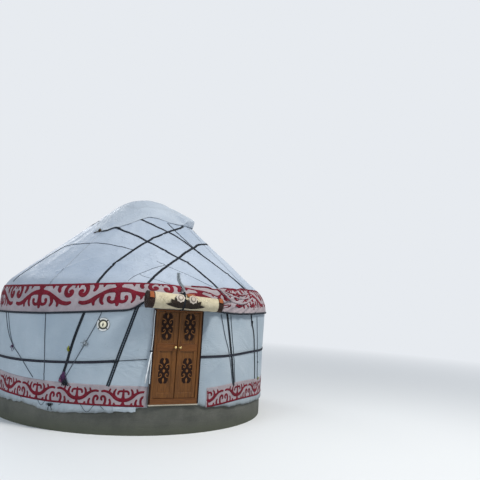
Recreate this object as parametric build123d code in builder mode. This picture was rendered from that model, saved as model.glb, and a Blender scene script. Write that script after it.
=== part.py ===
from build123d import *
import math
import os

# A felt and canvas yurt on a concrete plinth, with its door facing -Y and the ground at Z = 0.
# Every angle called an azimuth is measured from the middle of the door, turning towards +X,
# and every size is in millimetres.

# Plinth and floor
sill_z = 500.0
sill_thickness = 20.0
floor_thickness = 120.0

# Outer form of the coverings
cover_radius = 2750.0
shoulder_height = 1605.0
shoulder_radius = 536.0
roof_slope = 40.5
crown_edge_radius = 664.0
cover_thickness = 12.0
hem_drop = 150.0
skirt_height = 1575.0
wall_cover_height = 1600.0
seat_gap = 0.4
seam_turn = 0.02
over_door_end_turn = 0.1

# Door
door_width = 860.0
door_height = 1560.0
door_face_y = -2751.0
frame_depth = 110.0
jamb_width = 55.0
head_height = 36.0
threshold_height = 95.0
leaf_thickness = 40.0
leaf_setback = 14.0
leaf_gap = 6.0
meeting_gap = 12.0
stile_width = 70.0
bottom_rail_height = 90.0
lock_rail_height = 130.0
lock_rail_place = 935.0
top_rail_height = 40.0
panel_thickness = 16.0
bevel_width = 16.0
bevel_depth = 5.0
hinge_inset = 9.0
knuckle_radius = 6.5
knuckle_web = 9.0
knuckle_end_gap = 0.5
pin_radius = 3.0
pin_clearance = 0.3
hinge_plate_thickness = 2.5
hinge_plate_width = 34.0
knuckle_length = 26.0
hinge_heights = (260.0, 1230.0)
knob_radius = 24.0
knob_neck_radius = 9.0
knob_reach = 38.0
knob_height = 935.0
knob_inset = 36.0

# Lattice wall
pole_count = 40
lath_width = 30.0
lath_thickness = 14.0
lath_overlap = 4.0
lath_wall_gap = 4.0
lattice_depth = 150.0
lattice_rows = 8
foot_row_height = 60.0
head_length = 52.0
panel_gap = 10.0
panel_cuts = (11, 21, 30, 40, 49, 58, 68)

# Roof poles and crown
pole_width = 28.0
pole_depth = 34.0
pole_bend_radius = 480.0
pole_seat_gap = 0.6
crown_ring_radius = 650.0
crown_ring_width = 70.0
crown_ring_height = 64.0
pole_socket_depth = 20.0
pole_trim_height = 600.0
crown_bar_width = 26.0
crown_bar_depth = 20.0
crown_bar_spacing = 210.0
crown_bar_inset = 10.0
crown_bar_top_gap = 2.8
crown_cover_side = 1960.0
crown_cover_thickness = 6.0
crown_cover_turn = -11.0

# Straps, bands and belt
strap_thickness = 3.0
strap_width = 40.0
strap_low_height = 320.0
strap_reach = 260.0
strap_tuck = 100.0
band_thickness = 3.0
band_low_height = 1450.0
band_low_tilt = 125.0
band_top_height = 1925.0
band_top_tilt = 105.0
band_tilt_azimuth = 68.0
band_door_gap = 8.0
band_blank_low = 1200.0
band_blank_reach = 300.0
lower_band_bottom = -45.0
lower_band_top = 290.0
lower_band_start = 12.8
belt_height = 690.0
belt_tilt = 165.0
belt_tilt_azimuth = 72.0
belt_width = 45.0
belt_end_turn = 0.6
belt_blank_height = 800.0

# Rolled door curtain, thicker and higher at its left end
roll_left_radius = 145.0
roll_right_radius = 107.0
roll_length = 1350.0
roll_height = 1690.0
roll_droop = 3.0
roll_end_width = 55.0
sling_place = -30.0
sling_top_r = 2325.0

# Wall medallion
medallion_radius = 110.0
medallion_thickness = 5.0
medallion_rim_width = 24.0
medallion_rim_height = 6.0
medallion_rim_gap = 14.0
medallion_boss_radius = 46.0
medallion_slot_length = 44.0
medallion_slot_width = 16.0
medallion_azimuth = -26.3
medallion_height = 1256.0

# Places worked out from the sizes above
floor_top = sill_z - sill_thickness
door_top = sill_z + door_height
wall_outer = cover_radius - cover_thickness - seat_gap
wall_inner = wall_outer - cover_thickness
plinth_radius = wall_inner - seat_gap
slope = math.radians(roof_slope)
shoulder_centre_r = cover_radius - shoulder_radius
shoulder_z = sill_z + shoulder_height
bend_angle = math.pi / 2 - slope
door_edge = door_width / 2 + seat_gap
door_azimuth = math.degrees(math.asin(door_edge / wall_inner))


def polar(radius, azimuth, z=0.0):
    """A point at a radius and an azimuth from the door."""
    turn = math.radians(azimuth)
    return (radius * math.sin(turn), -radius * math.cos(turn), z)


def radial_plane(azimuth):
    """The upright plane through the axis: its x is the radius and its y is the height."""
    turn = math.radians(azimuth)
    return Plane(
        origin=(0, 0, 0),
        x_dir=(math.sin(turn), -math.cos(turn), 0),
        z_dir=(-math.cos(turn), -math.sin(turn), 0),
    )


def roof_line(offset):
    """Corners of the roof's section, moved outwards by an offset."""
    reach = shoulder_radius + offset
    side = shoulder_centre_r + reach
    mid = (shoulder_centre_r + reach * math.cos(bend_angle / 2),
           shoulder_z + reach * math.sin(bend_angle / 2))
    top = (shoulder_centre_r + reach * math.cos(bend_angle),
           shoulder_z + reach * math.sin(bend_angle))
    return side, mid, top


def slope_z(radius, offset):
    """Height of the roof's straight slope at a radius, moved outwards by an offset."""
    side, mid, top = roof_line(offset)
    return top[1] + (top[0] - radius) * math.tan(slope)


def roof_skin(inner, outer, low_z, top_radius):
    """Section of a skin on the roof, between two offsets, up to a radius."""
    in_side, in_mid, in_top = roof_line(inner)
    out_side, out_mid, out_top = roof_line(outer)
    with BuildLine() as line:
        in_crown = (top_radius, slope_z(top_radius, inner))
        out_crown = (top_radius, slope_z(top_radius, outer))
        Polyline((out_side, low_z), (in_side, low_z), (in_side, shoulder_z))
        ThreePointArc((in_side, shoulder_z), in_mid, in_top)
        Polyline(in_top, in_crown, out_crown, out_top)
        ThreePointArc(out_top, out_mid, (out_side, shoulder_z))
        Line((out_side, shoulder_z), (out_side, low_z))
    return line


def finish(part, name):
    """Label a piece and write it."""
    part.label = name
    export_step(part, f"parts/{name}.step")


os.makedirs("parts", exist_ok=True)

# Concrete plinth, cast down to the lowest ground, with the floor slab on it
with BuildPart() as plinth:
    with BuildSketch():
        Circle(plinth_radius)
    extrude(amount=floor_top - floor_thickness)
finish(plinth.part, "plinth")

with BuildPart() as floor_slab:
    with BuildSketch(Plane.XY.offset(floor_top - floor_thickness)):
        Circle(plinth_radius)
    extrude(amount=floor_thickness)
finish(floor_slab.part, "floor_slab")

# Door frame: a sill strip, a raised threshold, two jambs and a head
frame_y = door_face_y + frame_depth / 2
leaf_zone_y = door_face_y + leaf_setback + leaf_thickness

for low, height, name in (
    (floor_top, sill_thickness, "sill_strip"),
    (sill_z, threshold_height, "door_threshold"),
    (door_top - head_height, head_height, "door_head"),
):
    with BuildPart() as crosspiece:
        with BuildSketch(Plane.XY.offset(low)):
            with Locations((0, frame_y)):
                Rectangle(door_width, frame_depth)
        extrude(amount=height)
    finish(crosspiece.part, name)

for side, name in ((-1, "door_jamb_left"), (1, "door_jamb_right")):
    with BuildPart() as door_jamb:
        with BuildSketch(Plane.XY.offset(sill_z + threshold_height)):
            with Locations((side * (door_width - jamb_width) / 2, frame_y)):
                Rectangle(jamb_width, frame_depth)
        extrude(amount=door_height - threshold_height - head_height)
    finish(door_jamb.part, name)

# Door leaves: stiles and rails round two recessed panels, hung on the inner side
opening_half = door_width / 2 - jamb_width
leaf_bottom = sill_z + threshold_height + leaf_gap
leaf_height = door_top - head_height - leaf_gap - leaf_bottom
leaf_width = opening_half - leaf_gap - meeting_gap / 2
panel_width = leaf_width - 2 * stile_width
lock_rail_z = sill_z + lock_rail_place
panel_spans = (
    (leaf_bottom + bottom_rail_height, lock_rail_z - lock_rail_height / 2),
    (lock_rail_z + lock_rail_height / 2, leaf_bottom + leaf_height - top_rail_height),
)
hinge_x = opening_half - hinge_inset
hinge_y = leaf_zone_y + hinge_inset
leaf_mid_y = leaf_zone_y - leaf_thickness / 2

for side, hand in ((-1, "left"), (1, "right")):
    leaf_x = side * (meeting_gap / 2 + leaf_width / 2)
    with BuildPart() as door_leaf:
        with BuildSketch(Plane.XY.offset(leaf_bottom)):
            with Locations((leaf_x, leaf_mid_y)):
                Rectangle(leaf_width, leaf_thickness)
        extrude(amount=leaf_height)
        for panel_low, panel_high in panel_spans:
            panel_height = panel_high - panel_low
            for face in (-1, 1):
                recess = (leaf_thickness - panel_thickness) / 2
                panel_face = Plane(
                    origin=(leaf_x, leaf_mid_y + face * leaf_thickness / 2, (panel_low + panel_high) / 2),
                    x_dir=(1, 0, 0),
                    z_dir=(0, face, 0),
                )
                with BuildSketch(panel_face):
                    Rectangle(panel_width, panel_height)
                extrude(amount=-recess, mode=Mode.SUBTRACT)
                with BuildSketch(panel_face):
                    Rectangle(panel_width + 2 * bevel_width, panel_height + 2 * bevel_width)
                with BuildSketch(panel_face.offset(-bevel_depth)):
                    Rectangle(panel_width, panel_height)
                loft(mode=Mode.SUBTRACT)
    finish(door_leaf.part, f"door_leaf_{hand}")

    with BuildPart() as door_knob:
        knob_x = side * (meeting_gap / 2 + knob_inset)
        knob_plane = Plane(
            origin=(knob_x, leaf_mid_y - leaf_thickness / 2, sill_z + knob_height),
            x_dir=(1, 0, 0),
            z_dir=(0, -1, 0),
        )
        with BuildSketch(knob_plane):
            Circle(knob_neck_radius)
        extrude(amount=knob_reach)
        with Locations((knob_x, leaf_mid_y - leaf_thickness / 2 - knob_reach, sill_z + knob_height)):
            Sphere(knob_radius)
    finish(door_knob.part, f"door_knob_{hand}")

    with BuildPart() as hinge_plates:
        for height in hinge_heights:
            middle = sill_z + height
            with BuildSketch(Plane.XY.offset(middle - knuckle_length / 2 + knuckle_end_gap)):
                with Locations((side * hinge_x, hinge_y)):
                    Circle(knuckle_radius)
                plate_y = leaf_zone_y + hinge_plate_thickness / 2
                with Locations((side * (hinge_x - hinge_plate_width / 2), plate_y)):
                    Rectangle(hinge_plate_width, hinge_plate_thickness)
                with Locations((side * hinge_x, leaf_zone_y + hinge_inset / 2)):
                    Rectangle(knuckle_web, hinge_inset)
                with Locations((side * hinge_x, hinge_y)):
                    Circle(pin_radius + pin_clearance, mode=Mode.SUBTRACT)
            extrude(amount=knuckle_length - 2 * knuckle_end_gap)
    finish(hinge_plates.part, f"hinge_plates_{hand}")

with BuildPart() as door_hinges:
    for side in (-1, 1):
        for height in hinge_heights:
            middle = sill_z + height
            for shift in (-1, 1):
                low = middle + shift * knuckle_length - knuckle_length / 2
                with BuildSketch(Plane.XY.offset(low)):
                    with Locations((side * hinge_x, hinge_y)):
                        Circle(knuckle_radius)
                    with Locations((side * (opening_half - hinge_inset / 2), hinge_y)):
                        Rectangle(hinge_inset, knuckle_web)
                extrude(amount=knuckle_length)
            with BuildSketch(Plane.XY.offset(middle - knuckle_length)):
                with Locations((side * hinge_x, hinge_y)):
                    Circle(pin_radius)
            extrude(amount=2 * knuckle_length)
finish(door_hinges.part, "door_hinges")

# Lattice wall: laths in two layers that cross each other and are fused there
half_pitch = 360.0 / pole_count / 2
foot_z = door_top + pole_seat_gap
lath_vertex_radius = plinth_radius - lath_wall_gap
row_turn = half_pitch * lattice_rows / 2
lath_steep = (foot_z - sill_z - foot_row_height) / 2 / math.sin(math.radians(row_turn)) / lath_vertex_radius
seat_rise = (pole_width / 2 * lath_steep
             + lath_width / 2 * math.sqrt(1 + lath_steep ** 2) + pole_seat_gap)
top_row_z = foot_z - seat_rise
foot_row_z = floor_top + foot_row_height
lattice_mid_z = (top_row_z + foot_row_z) / 2
lath_climb = (top_row_z - foot_row_z) / 2 / math.sin(math.radians(row_turn))
head_top_z = top_row_z + head_length


def lath_turn(z):
    """Turn along a lath, from its middle to a height, in degrees."""
    return math.degrees(math.asin((z - lattice_mid_z) / lath_climb))


def lath(azimuth, hand):
    """One lath, bent to the wall, that climbs to the right (hand 1) or to the left (-1)."""
    outer = lath_vertex_radius
    if hand < 0:
        outer = outer - lath_thickness + lath_overlap
    turns = [lath_turn(floor_top - lath_width)]
    turns += [half_pitch * (row - lattice_rows / 2) for row in range(1, lattice_rows, 2)]
    turns += [lath_turn(head_top_z + lath_width)]
    run = math.hypot(lath_vertex_radius, lath_climb)
    out = [(outer * math.cos(math.radians(t)), run * math.sin(math.radians(t))) for t in turns]
    back = [(x - lath_thickness * math.cos(math.radians(t)), y) for (x, y), t in zip(out, turns)]
    radial = Vector(*polar(1, azimuth))
    along = Vector(*polar(1, azimuth + 90)) * hand * lath_vertex_radius + Vector(0, 0, lath_climb)
    lath_plane = Plane(origin=(0, 0, lattice_mid_z), x_dir=radial, z_dir=radial.cross(along))
    with BuildPart() as strip:
        with BuildSketch(lath_plane):
            Polygon(*out, *reversed(back), align=None)
        extrude(amount=lath_width / 2, both=True)
    return strip.part


cut_azimuths = [half_pitch * (k + 0.5) for k in panel_cuts]
lattice_inner = lath_vertex_radius - 3 * lath_thickness
lattice_edge = math.degrees(math.asin(door_edge / lattice_inner))
lattice_azimuths = [lattice_edge] + cut_azimuths + [360 - lattice_edge]
panel_gap_turn = math.degrees(panel_gap / plinth_radius)
lean = half_pitch * lattice_rows / 2 + half_pitch
segment_count = len(panel_cuts) + 1

for index in range(segment_count):
    start = lattice_azimuths[index] + (panel_gap_turn / 2 if index else 0)
    stop = lattice_azimuths[index + 1] - (panel_gap_turn / 2 if index < segment_count - 1 else 0)
    middles = [
        2 * half_pitch * k for k in range(2 * pole_count)
        if start - lean < 2 * half_pitch * k < stop + lean
    ]
    with BuildPart() as lattice_panel:
        add([lath(middle, hand) for middle in middles for hand in (-1, 1)])
        with BuildSketch(radial_plane(start)):
            with Locations((plinth_radius - lattice_depth / 2, (floor_top + head_top_z) / 2)):
                Rectangle(lattice_depth - 2 * seat_gap, head_top_z - floor_top)
        revolve(axis=Axis.Z, revolution_arc=stop - start, mode=Mode.INTERSECT)
    finish(lattice_panel.part, f"lattice_panel_{index + 1}")

# Roof poles: bent at the foot, straight to the crown ring
pole_side_r = plinth_radius - seat_gap - pole_depth / 2
pole_offset = -(cover_thickness + seat_gap + pole_depth / 2)
eave_z = slope_z(pole_side_r, pole_offset)
pole_top_r = crown_ring_radius - pole_socket_depth
crown_z = slope_z(pole_top_r, pole_offset)
for quarter in range(4):
    with BuildPart() as roof_poles:
        for k in range(pole_count // 4):
            plane = radial_plane((quarter * pole_count // 4 + k) * 2 * half_pitch)
            with BuildLine(plane) as pole_path:
                FilletPolyline(
                    (pole_side_r, foot_z), (pole_side_r, eave_z), (pole_top_r, crown_z),
                    radius=pole_bend_radius,
                )
            foot_plane = Plane(
                origin=plane.from_local_coords((pole_side_r, foot_z, 0)), x_dir=plane.x_dir, z_dir=(0, 0, 1)
            )
            with BuildSketch(foot_plane):
                Rectangle(pole_depth, pole_width)
            sweep(path=pole_path.line)
        with Locations((0, 0, crown_z)):
            Cylinder(crown_ring_radius + seat_gap, pole_trim_height, mode=Mode.SUBTRACT)
    finish(roof_poles.part, f"roof_poles_{quarter + 1}")

# Crown: a ring, with domed bars across it
ring_top = slope_z(crown_ring_radius, -cover_thickness) - seat_gap
with BuildPart() as crown_ring:
    with BuildSketch(Plane.XY.offset(ring_top - crown_ring_height)):
        Circle(crown_ring_radius)
        Circle(crown_ring_radius - crown_ring_width, mode=Mode.SUBTRACT)
    extrude(amount=crown_ring_height)
finish(crown_ring.part, "crown_ring")

dome_radius = crown_edge_radius / math.sin(slope)
dome_top = slope_z(crown_edge_radius, 0) + dome_radius * (1 - math.cos(slope))
bar_reach = crown_ring_radius - crown_bar_inset
bar_rise = dome_top - crown_bar_top_gap - (ring_top + seat_gap)
bar_sphere = (bar_reach ** 2 + bar_rise ** 2) / (2 * bar_rise)
bar_centre_z = ring_top + seat_gap + bar_rise - bar_sphere
with BuildPart() as crown_bars:
    for along, across in ((Vector(1, 0, 0), Vector(0, -1, 0)), (Vector(0, 1, 0), Vector(1, 0, 0))):
        for place in (-1, 0, 1):
            offset = place * crown_bar_spacing
            outer = math.sqrt(bar_sphere ** 2 - offset ** 2)
            bar_origin = across * offset + Vector(0, 0, bar_centre_z)
            bar_plane = Plane(origin=bar_origin, x_dir=along, z_dir=across)
            with BuildSketch(bar_plane):
                Circle(outer)
                Circle(outer - crown_bar_depth, mode=Mode.SUBTRACT)
                with Locations((0, ring_top + seat_gap - bar_centre_z)):
                    Rectangle(4 * bar_sphere, 4 * bar_sphere, align=(Align.CENTER, Align.MAX),
                              mode=Mode.SUBTRACT)
            extrude(amount=crown_bar_width / 2, both=True)
finish(crown_bars.part, "crown_bars")

# Wall covers, in segments round the room, and a strip over the door
wall_top_z = sill_z + wall_cover_height
hem_z = sill_z - hem_drop
cover_azimuths = [door_azimuth] + cut_azimuths + [360 - door_azimuth]
for index in range(segment_count):
    start = cover_azimuths[index]
    turn = cover_azimuths[index + 1] - start - math.degrees(seat_gap / wall_inner)
    with BuildPart() as wall_cover:
        with BuildSketch(radial_plane(start)):
            with Locations(((wall_inner + wall_outer) / 2, (hem_z + wall_top_z) / 2)):
                Rectangle(cover_thickness, wall_top_z - hem_z)
        revolve(axis=Axis.Z, revolution_arc=turn)
    finish(wall_cover.part, f"wall_cover_{index + 1}")

with BuildPart() as wall_cover_over_door:
    with BuildSketch(radial_plane(-door_azimuth + over_door_end_turn)):
        low = door_top + seat_gap
        with Locations(((wall_inner + wall_outer) / 2, (low + wall_top_z) / 2)):
            Rectangle(cover_thickness, wall_top_z - low)
    revolve(axis=Axis.Z, revolution_arc=2 * (door_azimuth - over_door_end_turn))
finish(wall_cover_over_door.part, "wall_cover_over_door")

# Roof covers: four pieces from the skirt to the crown
skirt_z = sill_z + skirt_height
for quarter in range(4):
    with BuildPart() as roof_cover:
        section = roof_skin(-cover_thickness, 0, skirt_z, crown_edge_radius)
        with BuildSketch(radial_plane(45 + 90 * quarter)):
            with BuildLine():
                add(section.line)
            make_face()
        revolve(axis=Axis.Z, revolution_arc=90 - seam_turn)
    finish(roof_cover.part, f"roof_cover_{quarter + 1}")

# Crown cover: a square sheet over the dome
crown_rise = strap_thickness + 2 * seat_gap
dome_centre_z = dome_top - dome_radius


def dome_place(radius, turn):
    """A point of the dome's section, at a turn from the top."""
    return (radius * math.sin(turn), dome_centre_z + radius * math.cos(turn))


with BuildPart() as crown_cover:
    under = dome_radius + crown_rise
    over = under + crown_cover_thickness
    edge_under = (crown_cover_side, slope_z(crown_cover_side, crown_rise))
    edge_over = (crown_cover_side, slope_z(crown_cover_side, crown_rise + crown_cover_thickness))
    with BuildSketch(Plane.XZ):
        with BuildLine():
            Line(dome_place(under, 0), dome_place(over, 0))
            ThreePointArc(dome_place(over, 0), dome_place(over, slope / 2), dome_place(over, slope))
            Polyline(dome_place(over, slope), edge_over, edge_under, dome_place(under, slope))
            ThreePointArc(dome_place(under, slope), dome_place(under, slope / 2), dome_place(under, 0))
        make_face()
    revolve(axis=Axis.Z)
    with BuildSketch(Plane.XY):
        with Locations(Location((0, 0, 0), (0, 0, crown_cover_turn))):
            Rectangle(crown_cover_side, crown_cover_side)
    extrude(amount=2 * dome_top, mode=Mode.INTERSECT)
finish(crown_cover.part, "crown_cover")


def tilted_plane(height, tilt, azimuth):
    """A nearly level plane through the axis at a height, highest at an azimuth."""
    lift = polar(1, azimuth)
    normal = (-lift[0] * tilt / cover_radius, -lift[1] * tilt / cover_radius, 1)
    return Plane(origin=(0, 0, sill_z + height), z_dir=normal)


# Ornamented band round the eaves, over the straps
band_in = strap_thickness + 2 * seat_gap
with BuildPart() as upper_band:
    with BuildSketch(Plane.XZ):
        with BuildLine():
            add(roof_skin(band_in, band_in + band_thickness, sill_z + band_blank_low,
                          cover_radius - band_blank_reach).line)
        make_face()
    revolve(axis=Axis.Z)
    low_plane = tilted_plane(band_low_height, band_low_tilt, band_tilt_azimuth)
    with BuildSketch(low_plane):
        Circle(2 * cover_radius)
    extrude(amount=-cover_radius, mode=Mode.SUBTRACT)
    with BuildSketch(tilted_plane(band_top_height, band_top_tilt, band_tilt_azimuth)):
        Circle(2 * cover_radius)
    extrude(amount=cover_radius, mode=Mode.SUBTRACT)
    with BuildSketch(Plane.XY.offset(door_top + seat_gap)):
        with Locations((0, -cover_radius)):
            Rectangle(door_width + 2 * band_door_gap, 2 * frame_depth)
    extrude(amount=-door_height, mode=Mode.SUBTRACT)
finish(upper_band.part, "upper_band")

# Ornamented band round the foot of the wall, in two lengths
lower_in = wall_outer + seat_gap
for name, start, stop in (
    ("lower_band_right", lower_band_start, 180.0),
    ("lower_band_left", 180.0 + seam_turn, 360 - door_azimuth - belt_end_turn),
):
    with BuildPart() as lower_band:
        with BuildSketch(radial_plane(start)):
            band_middle = sill_z + (lower_band_bottom + lower_band_top) / 2
            with Locations((lower_in + band_thickness / 2, band_middle)):
                Rectangle(band_thickness, lower_band_top - lower_band_bottom)
        revolve(axis=Axis.Z, revolution_arc=stop - start)
    finish(lower_band.part, name)

# Girth belt, tied at both jambs
belt_in = wall_outer + strap_thickness + 2 * seat_gap
with BuildPart() as girth_belt:
    with BuildSketch(radial_plane(door_azimuth + belt_end_turn)):
        with Locations((belt_in + strap_thickness / 2, sill_z + belt_height)):
            Rectangle(strap_thickness, belt_blank_height)
    revolve(axis=Axis.Z, revolution_arc=360 - 2 * (door_azimuth + belt_end_turn))
    belt_plane = tilted_plane(belt_height, belt_tilt, belt_tilt_azimuth)
    with BuildSketch(belt_plane.offset(-belt_width / 2)):
        Circle(2 * cover_radius)
    extrude(amount=belt_width, mode=Mode.INTERSECT)
finish(girth_belt.part, "girth_belt")

# Roof straps: each runs over the roof, under the band and down the wall
straps = (
    ((597.0, -878.0), -31.5, -38.4),
    ((1230.0, -700.0), -14.0, -22.6),
    ((-1020.0, -990.0), 18.6, 27.8),
    ((-384.0, -986.0), 37.6, 43.9),
)
strap_low_z = sill_z + strap_low_height
wall_in = wall_outer + seat_gap
wall_out = wall_in + strap_thickness
step_z = skirt_z - seat_gap
strap_top_r = crown_edge_radius + strap_tuck
with BuildPart() as roof_straps:
    with BuildSketch(Plane.XZ):
        with BuildLine():
            in_side, in_mid, in_top = roof_line(seat_gap)
            out_side, out_mid, out_top = roof_line(seat_gap + strap_thickness)
            Polyline(
                (out_side, shoulder_z), (out_side, step_z - strap_thickness),
                (wall_out, step_z - strap_thickness), (wall_out, strap_low_z),
                (wall_in, strap_low_z), (wall_in, step_z), (in_side, step_z),
                (in_side, shoulder_z),
            )
            ThreePointArc((in_side, shoulder_z), in_mid, in_top)
            Polyline(in_top, (strap_top_r, slope_z(strap_top_r, seat_gap)),
                     (strap_top_r, slope_z(strap_top_r, seat_gap + strap_thickness)), out_top)
            ThreePointArc(out_top, out_mid, (out_side, shoulder_z))
        make_face()
    revolve(axis=Axis.Z)
    with BuildPart(mode=Mode.INTERSECT):
        for top_place, eave_azimuth, low_azimuth in straps:
            top_point = Vector(top_place[0], top_place[1], skirt_z)
            eave = Vector(*polar(cover_radius, eave_azimuth, skirt_z))
            with BuildSketch(Plane(origin=top_point, x_dir=eave - top_point, z_dir=(0, 0, 1))):
                Rectangle((eave - top_point).length + strap_width, strap_width,
                          align=(Align.MIN, Align.CENTER))
            extrude(amount=cover_radius)
            hip = Vector(*polar(cover_radius, eave_azimuth, shoulder_z))
            foot = Vector(*polar(cover_radius, low_azimuth, strap_low_z))
            outward = Vector(*polar(1, (eave_azimuth + low_azimuth) / 2))
            down = Plane(origin=hip, x_dir=foot - hip, z_dir=outward)
            with BuildSketch(down.offset(-strap_reach / 2)):
                with Locations((-strap_reach / 2, 0)):
                    Rectangle((foot - hip).length + strap_reach, strap_width,
                              align=(Align.MIN, Align.CENTER))
            extrude(amount=strap_reach)
    add(roof_straps.part.rotate(Axis.Z, 180))
finish(roof_straps.part, "roof_straps")

# Rolled door curtain, its end bands, and the sling that hangs it from the roof. The roll is a
# tapered bundle round an axis that droops to the right.
roll_taper = (roll_right_radius - roll_left_radius) / roll_length


def roll_radius(place):
    """Radius of the roll at a place along it, measured from its middle to the right."""
    return (roll_left_radius + roll_right_radius) / 2 + roll_taper * place


sling_left = sling_place - strap_width / 2
sling_radius = roll_radius(sling_left) + seat_gap + strap_thickness
roll_y = -(cover_radius + band_in + band_thickness + seat_gap + sling_radius)
droop = math.radians(roll_droop)
roll_plane = Plane(
    origin=(0, roll_y, sill_z + roll_height),
    x_dir=(math.cos(droop), 0, -math.sin(droop)),
    z_dir=(0, -1, 0),
)


def roll_ring(start, stop, inner, outer):
    """Section of a tapered ring round the roll, between two distances from its surface."""
    with BuildSketch(roll_plane) as ring:
        Polygon(
            (start, roll_radius(start) + inner),
            (stop, roll_radius(stop) + inner),
            (stop, roll_radius(stop) + outer),
            (start, roll_radius(start) + outer),
            align=None,
        )
    return ring.sketch


def roll_body(start, stop, reach):
    """Section of a tapered solid about the roll's axis, out to a distance from its surface."""
    with BuildSketch(roll_plane) as body:
        Polygon(
            (start, 0), (stop, 0), (stop, roll_radius(stop) + reach), (start, roll_radius(start) + reach),
            align=None,
        )
    return body.sketch


roll_axis = Axis(origin=roll_plane.origin, direction=roll_plane.x_dir)
roll_end = roll_length / 2
with BuildPart() as curtain_roll:
    add(roll_body(-roll_end + roll_end_width, roll_end - roll_end_width, 0))
    revolve(axis=roll_axis)
finish(curtain_roll.part, "curtain_roll")

with BuildPart() as roll_end_bands:
    for start in (-roll_end, roll_end - roll_end_width):
        add(roll_body(start, start + roll_end_width, 0))
        revolve(axis=roll_axis)
finish(roll_end_bands.part, "roll_end_bands")

sling_offset = band_in + band_thickness + seat_gap
sling_low_r = -roll_y - sling_radius / 2
with BuildPart() as roll_sling:
    add(roll_ring(sling_left, sling_left + strap_width, seat_gap, seat_gap + strap_thickness))
    revolve(axis=roll_axis)
    with BuildSketch(radial_plane(0).offset(-sling_left - strap_width)):
        Polygon(
            (sling_top_r, slope_z(sling_top_r, seat_gap)),
            (sling_top_r, slope_z(sling_top_r, seat_gap + strap_thickness)),
            (sling_low_r, slope_z(sling_low_r, sling_offset + strap_thickness)),
            (sling_low_r, slope_z(sling_low_r, sling_offset)),
            align=None,
        )
    extrude(amount=strap_width)
    add(roll_body(sling_left - strap_width, sling_left + 2 * strap_width, seat_gap))
    revolve(axis=roll_axis, mode=Mode.SUBTRACT)
finish(roll_sling.part, "roll_sling")

# Round vent medallion on the wall: a plate with a rim in four arcs and a slotted boss
medallion_plane = Plane(
    origin=polar(wall_outer, medallion_azimuth, sill_z + medallion_height),
    x_dir=(0, 0, 1),
    z_dir=polar(1, medallion_azimuth),
)
rim_inner = medallion_radius - medallion_rim_width
with BuildPart() as wall_medallion:
    with BuildSketch(medallion_plane.offset(-medallion_thickness)):
        Circle(medallion_radius)
    extrude(amount=2 * medallion_thickness)
    with BuildSketch(medallion_plane.offset(medallion_thickness)):
        Circle(medallion_radius)
        Circle(rim_inner, mode=Mode.SUBTRACT)
        with PolarLocations((medallion_radius + rim_inner) / 2, 4, start_angle=45):
            Rectangle(2 * medallion_rim_width, medallion_rim_gap, mode=Mode.SUBTRACT)
        Circle(medallion_boss_radius)
        SlotOverall(medallion_slot_length, medallion_slot_width, mode=Mode.SUBTRACT)
    extrude(amount=medallion_rim_height)
    with Locations((0, 0, sill_z + medallion_height)):
        Cylinder(wall_outer + seat_gap, 3 * medallion_radius, mode=Mode.SUBTRACT)
finish(wall_medallion.part, "wall_medallion")
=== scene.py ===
# %% [markdown]
# # Dressing a canvas yurt
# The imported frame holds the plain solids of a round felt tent: plinth, lattice, poles, covers,
# straps and a two-leaf door. This lesson gives each of them its cloth, wood, rope and wear.
# Everything is in metres, the ground is at Z = 0 and the door faces -Y.

# %% Load the frame
from math import ceil, cos, pi, radians, sin
import bpy
import numpy as np
from mathutils import Matrix, Vector
from mathutils.geometry import delaunay_2d_cdt


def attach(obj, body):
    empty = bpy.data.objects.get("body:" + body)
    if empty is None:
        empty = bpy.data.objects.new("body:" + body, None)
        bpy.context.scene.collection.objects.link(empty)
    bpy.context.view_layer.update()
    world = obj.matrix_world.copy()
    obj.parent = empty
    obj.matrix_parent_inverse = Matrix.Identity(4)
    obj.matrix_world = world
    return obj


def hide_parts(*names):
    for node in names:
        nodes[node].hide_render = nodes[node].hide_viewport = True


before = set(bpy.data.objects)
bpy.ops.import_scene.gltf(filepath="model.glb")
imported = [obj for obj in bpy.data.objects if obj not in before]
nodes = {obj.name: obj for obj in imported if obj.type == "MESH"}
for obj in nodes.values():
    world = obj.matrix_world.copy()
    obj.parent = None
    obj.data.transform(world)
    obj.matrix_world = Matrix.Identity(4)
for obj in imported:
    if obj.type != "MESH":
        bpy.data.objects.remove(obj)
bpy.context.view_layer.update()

scene = bpy.context.scene

# %% [markdown]
# ## Camera
# The camera comes first, because every later choice is judged through it. It stands to the left
# of the door and looks slightly up, and the horizon leans a little, as in a hand-held picture.

# %% Set the camera
camera_place = Vector((-2.917, -11.142, 2.203))
camera_heading = radians(25.28)
camera_pitch = radians(7.26)
camera_roll = radians(3.44)
camera_lens = 38.4

level_ahead = Vector((sin(camera_heading), cos(camera_heading), 0))
level_right = Vector((cos(camera_heading), -sin(camera_heading), 0))
ahead = level_ahead * cos(camera_pitch) + Vector((0, 0, sin(camera_pitch)))
above = level_right.cross(ahead)
camera_right = level_right * cos(camera_roll) + above * sin(camera_roll)
camera_up = above * cos(camera_roll) - level_right * sin(camera_roll)

camera_data = bpy.data.cameras.new("camera")
camera_data.lens = camera_lens
camera_data.clip_end = 400
camera = bpy.data.objects.new("camera", camera_data)
turn = Matrix((camera_right, camera_up, -ahead)).transposed().to_4x4()
camera.matrix_world = Matrix.Translation(camera_place) @ turn
scene.collection.objects.link(camera)
scene.camera = camera
print("camera", round(camera_place.length, 2), "m from the middle of the ground")

# %% [markdown]
# ## Helpers for meshes
# A yurt is made of skins on one simple form, so most pieces start as a grid of points that a
# function places in space. The helpers turn such points into a mesh with a UV map in metres,
# which cloth patterns follow later.

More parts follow.
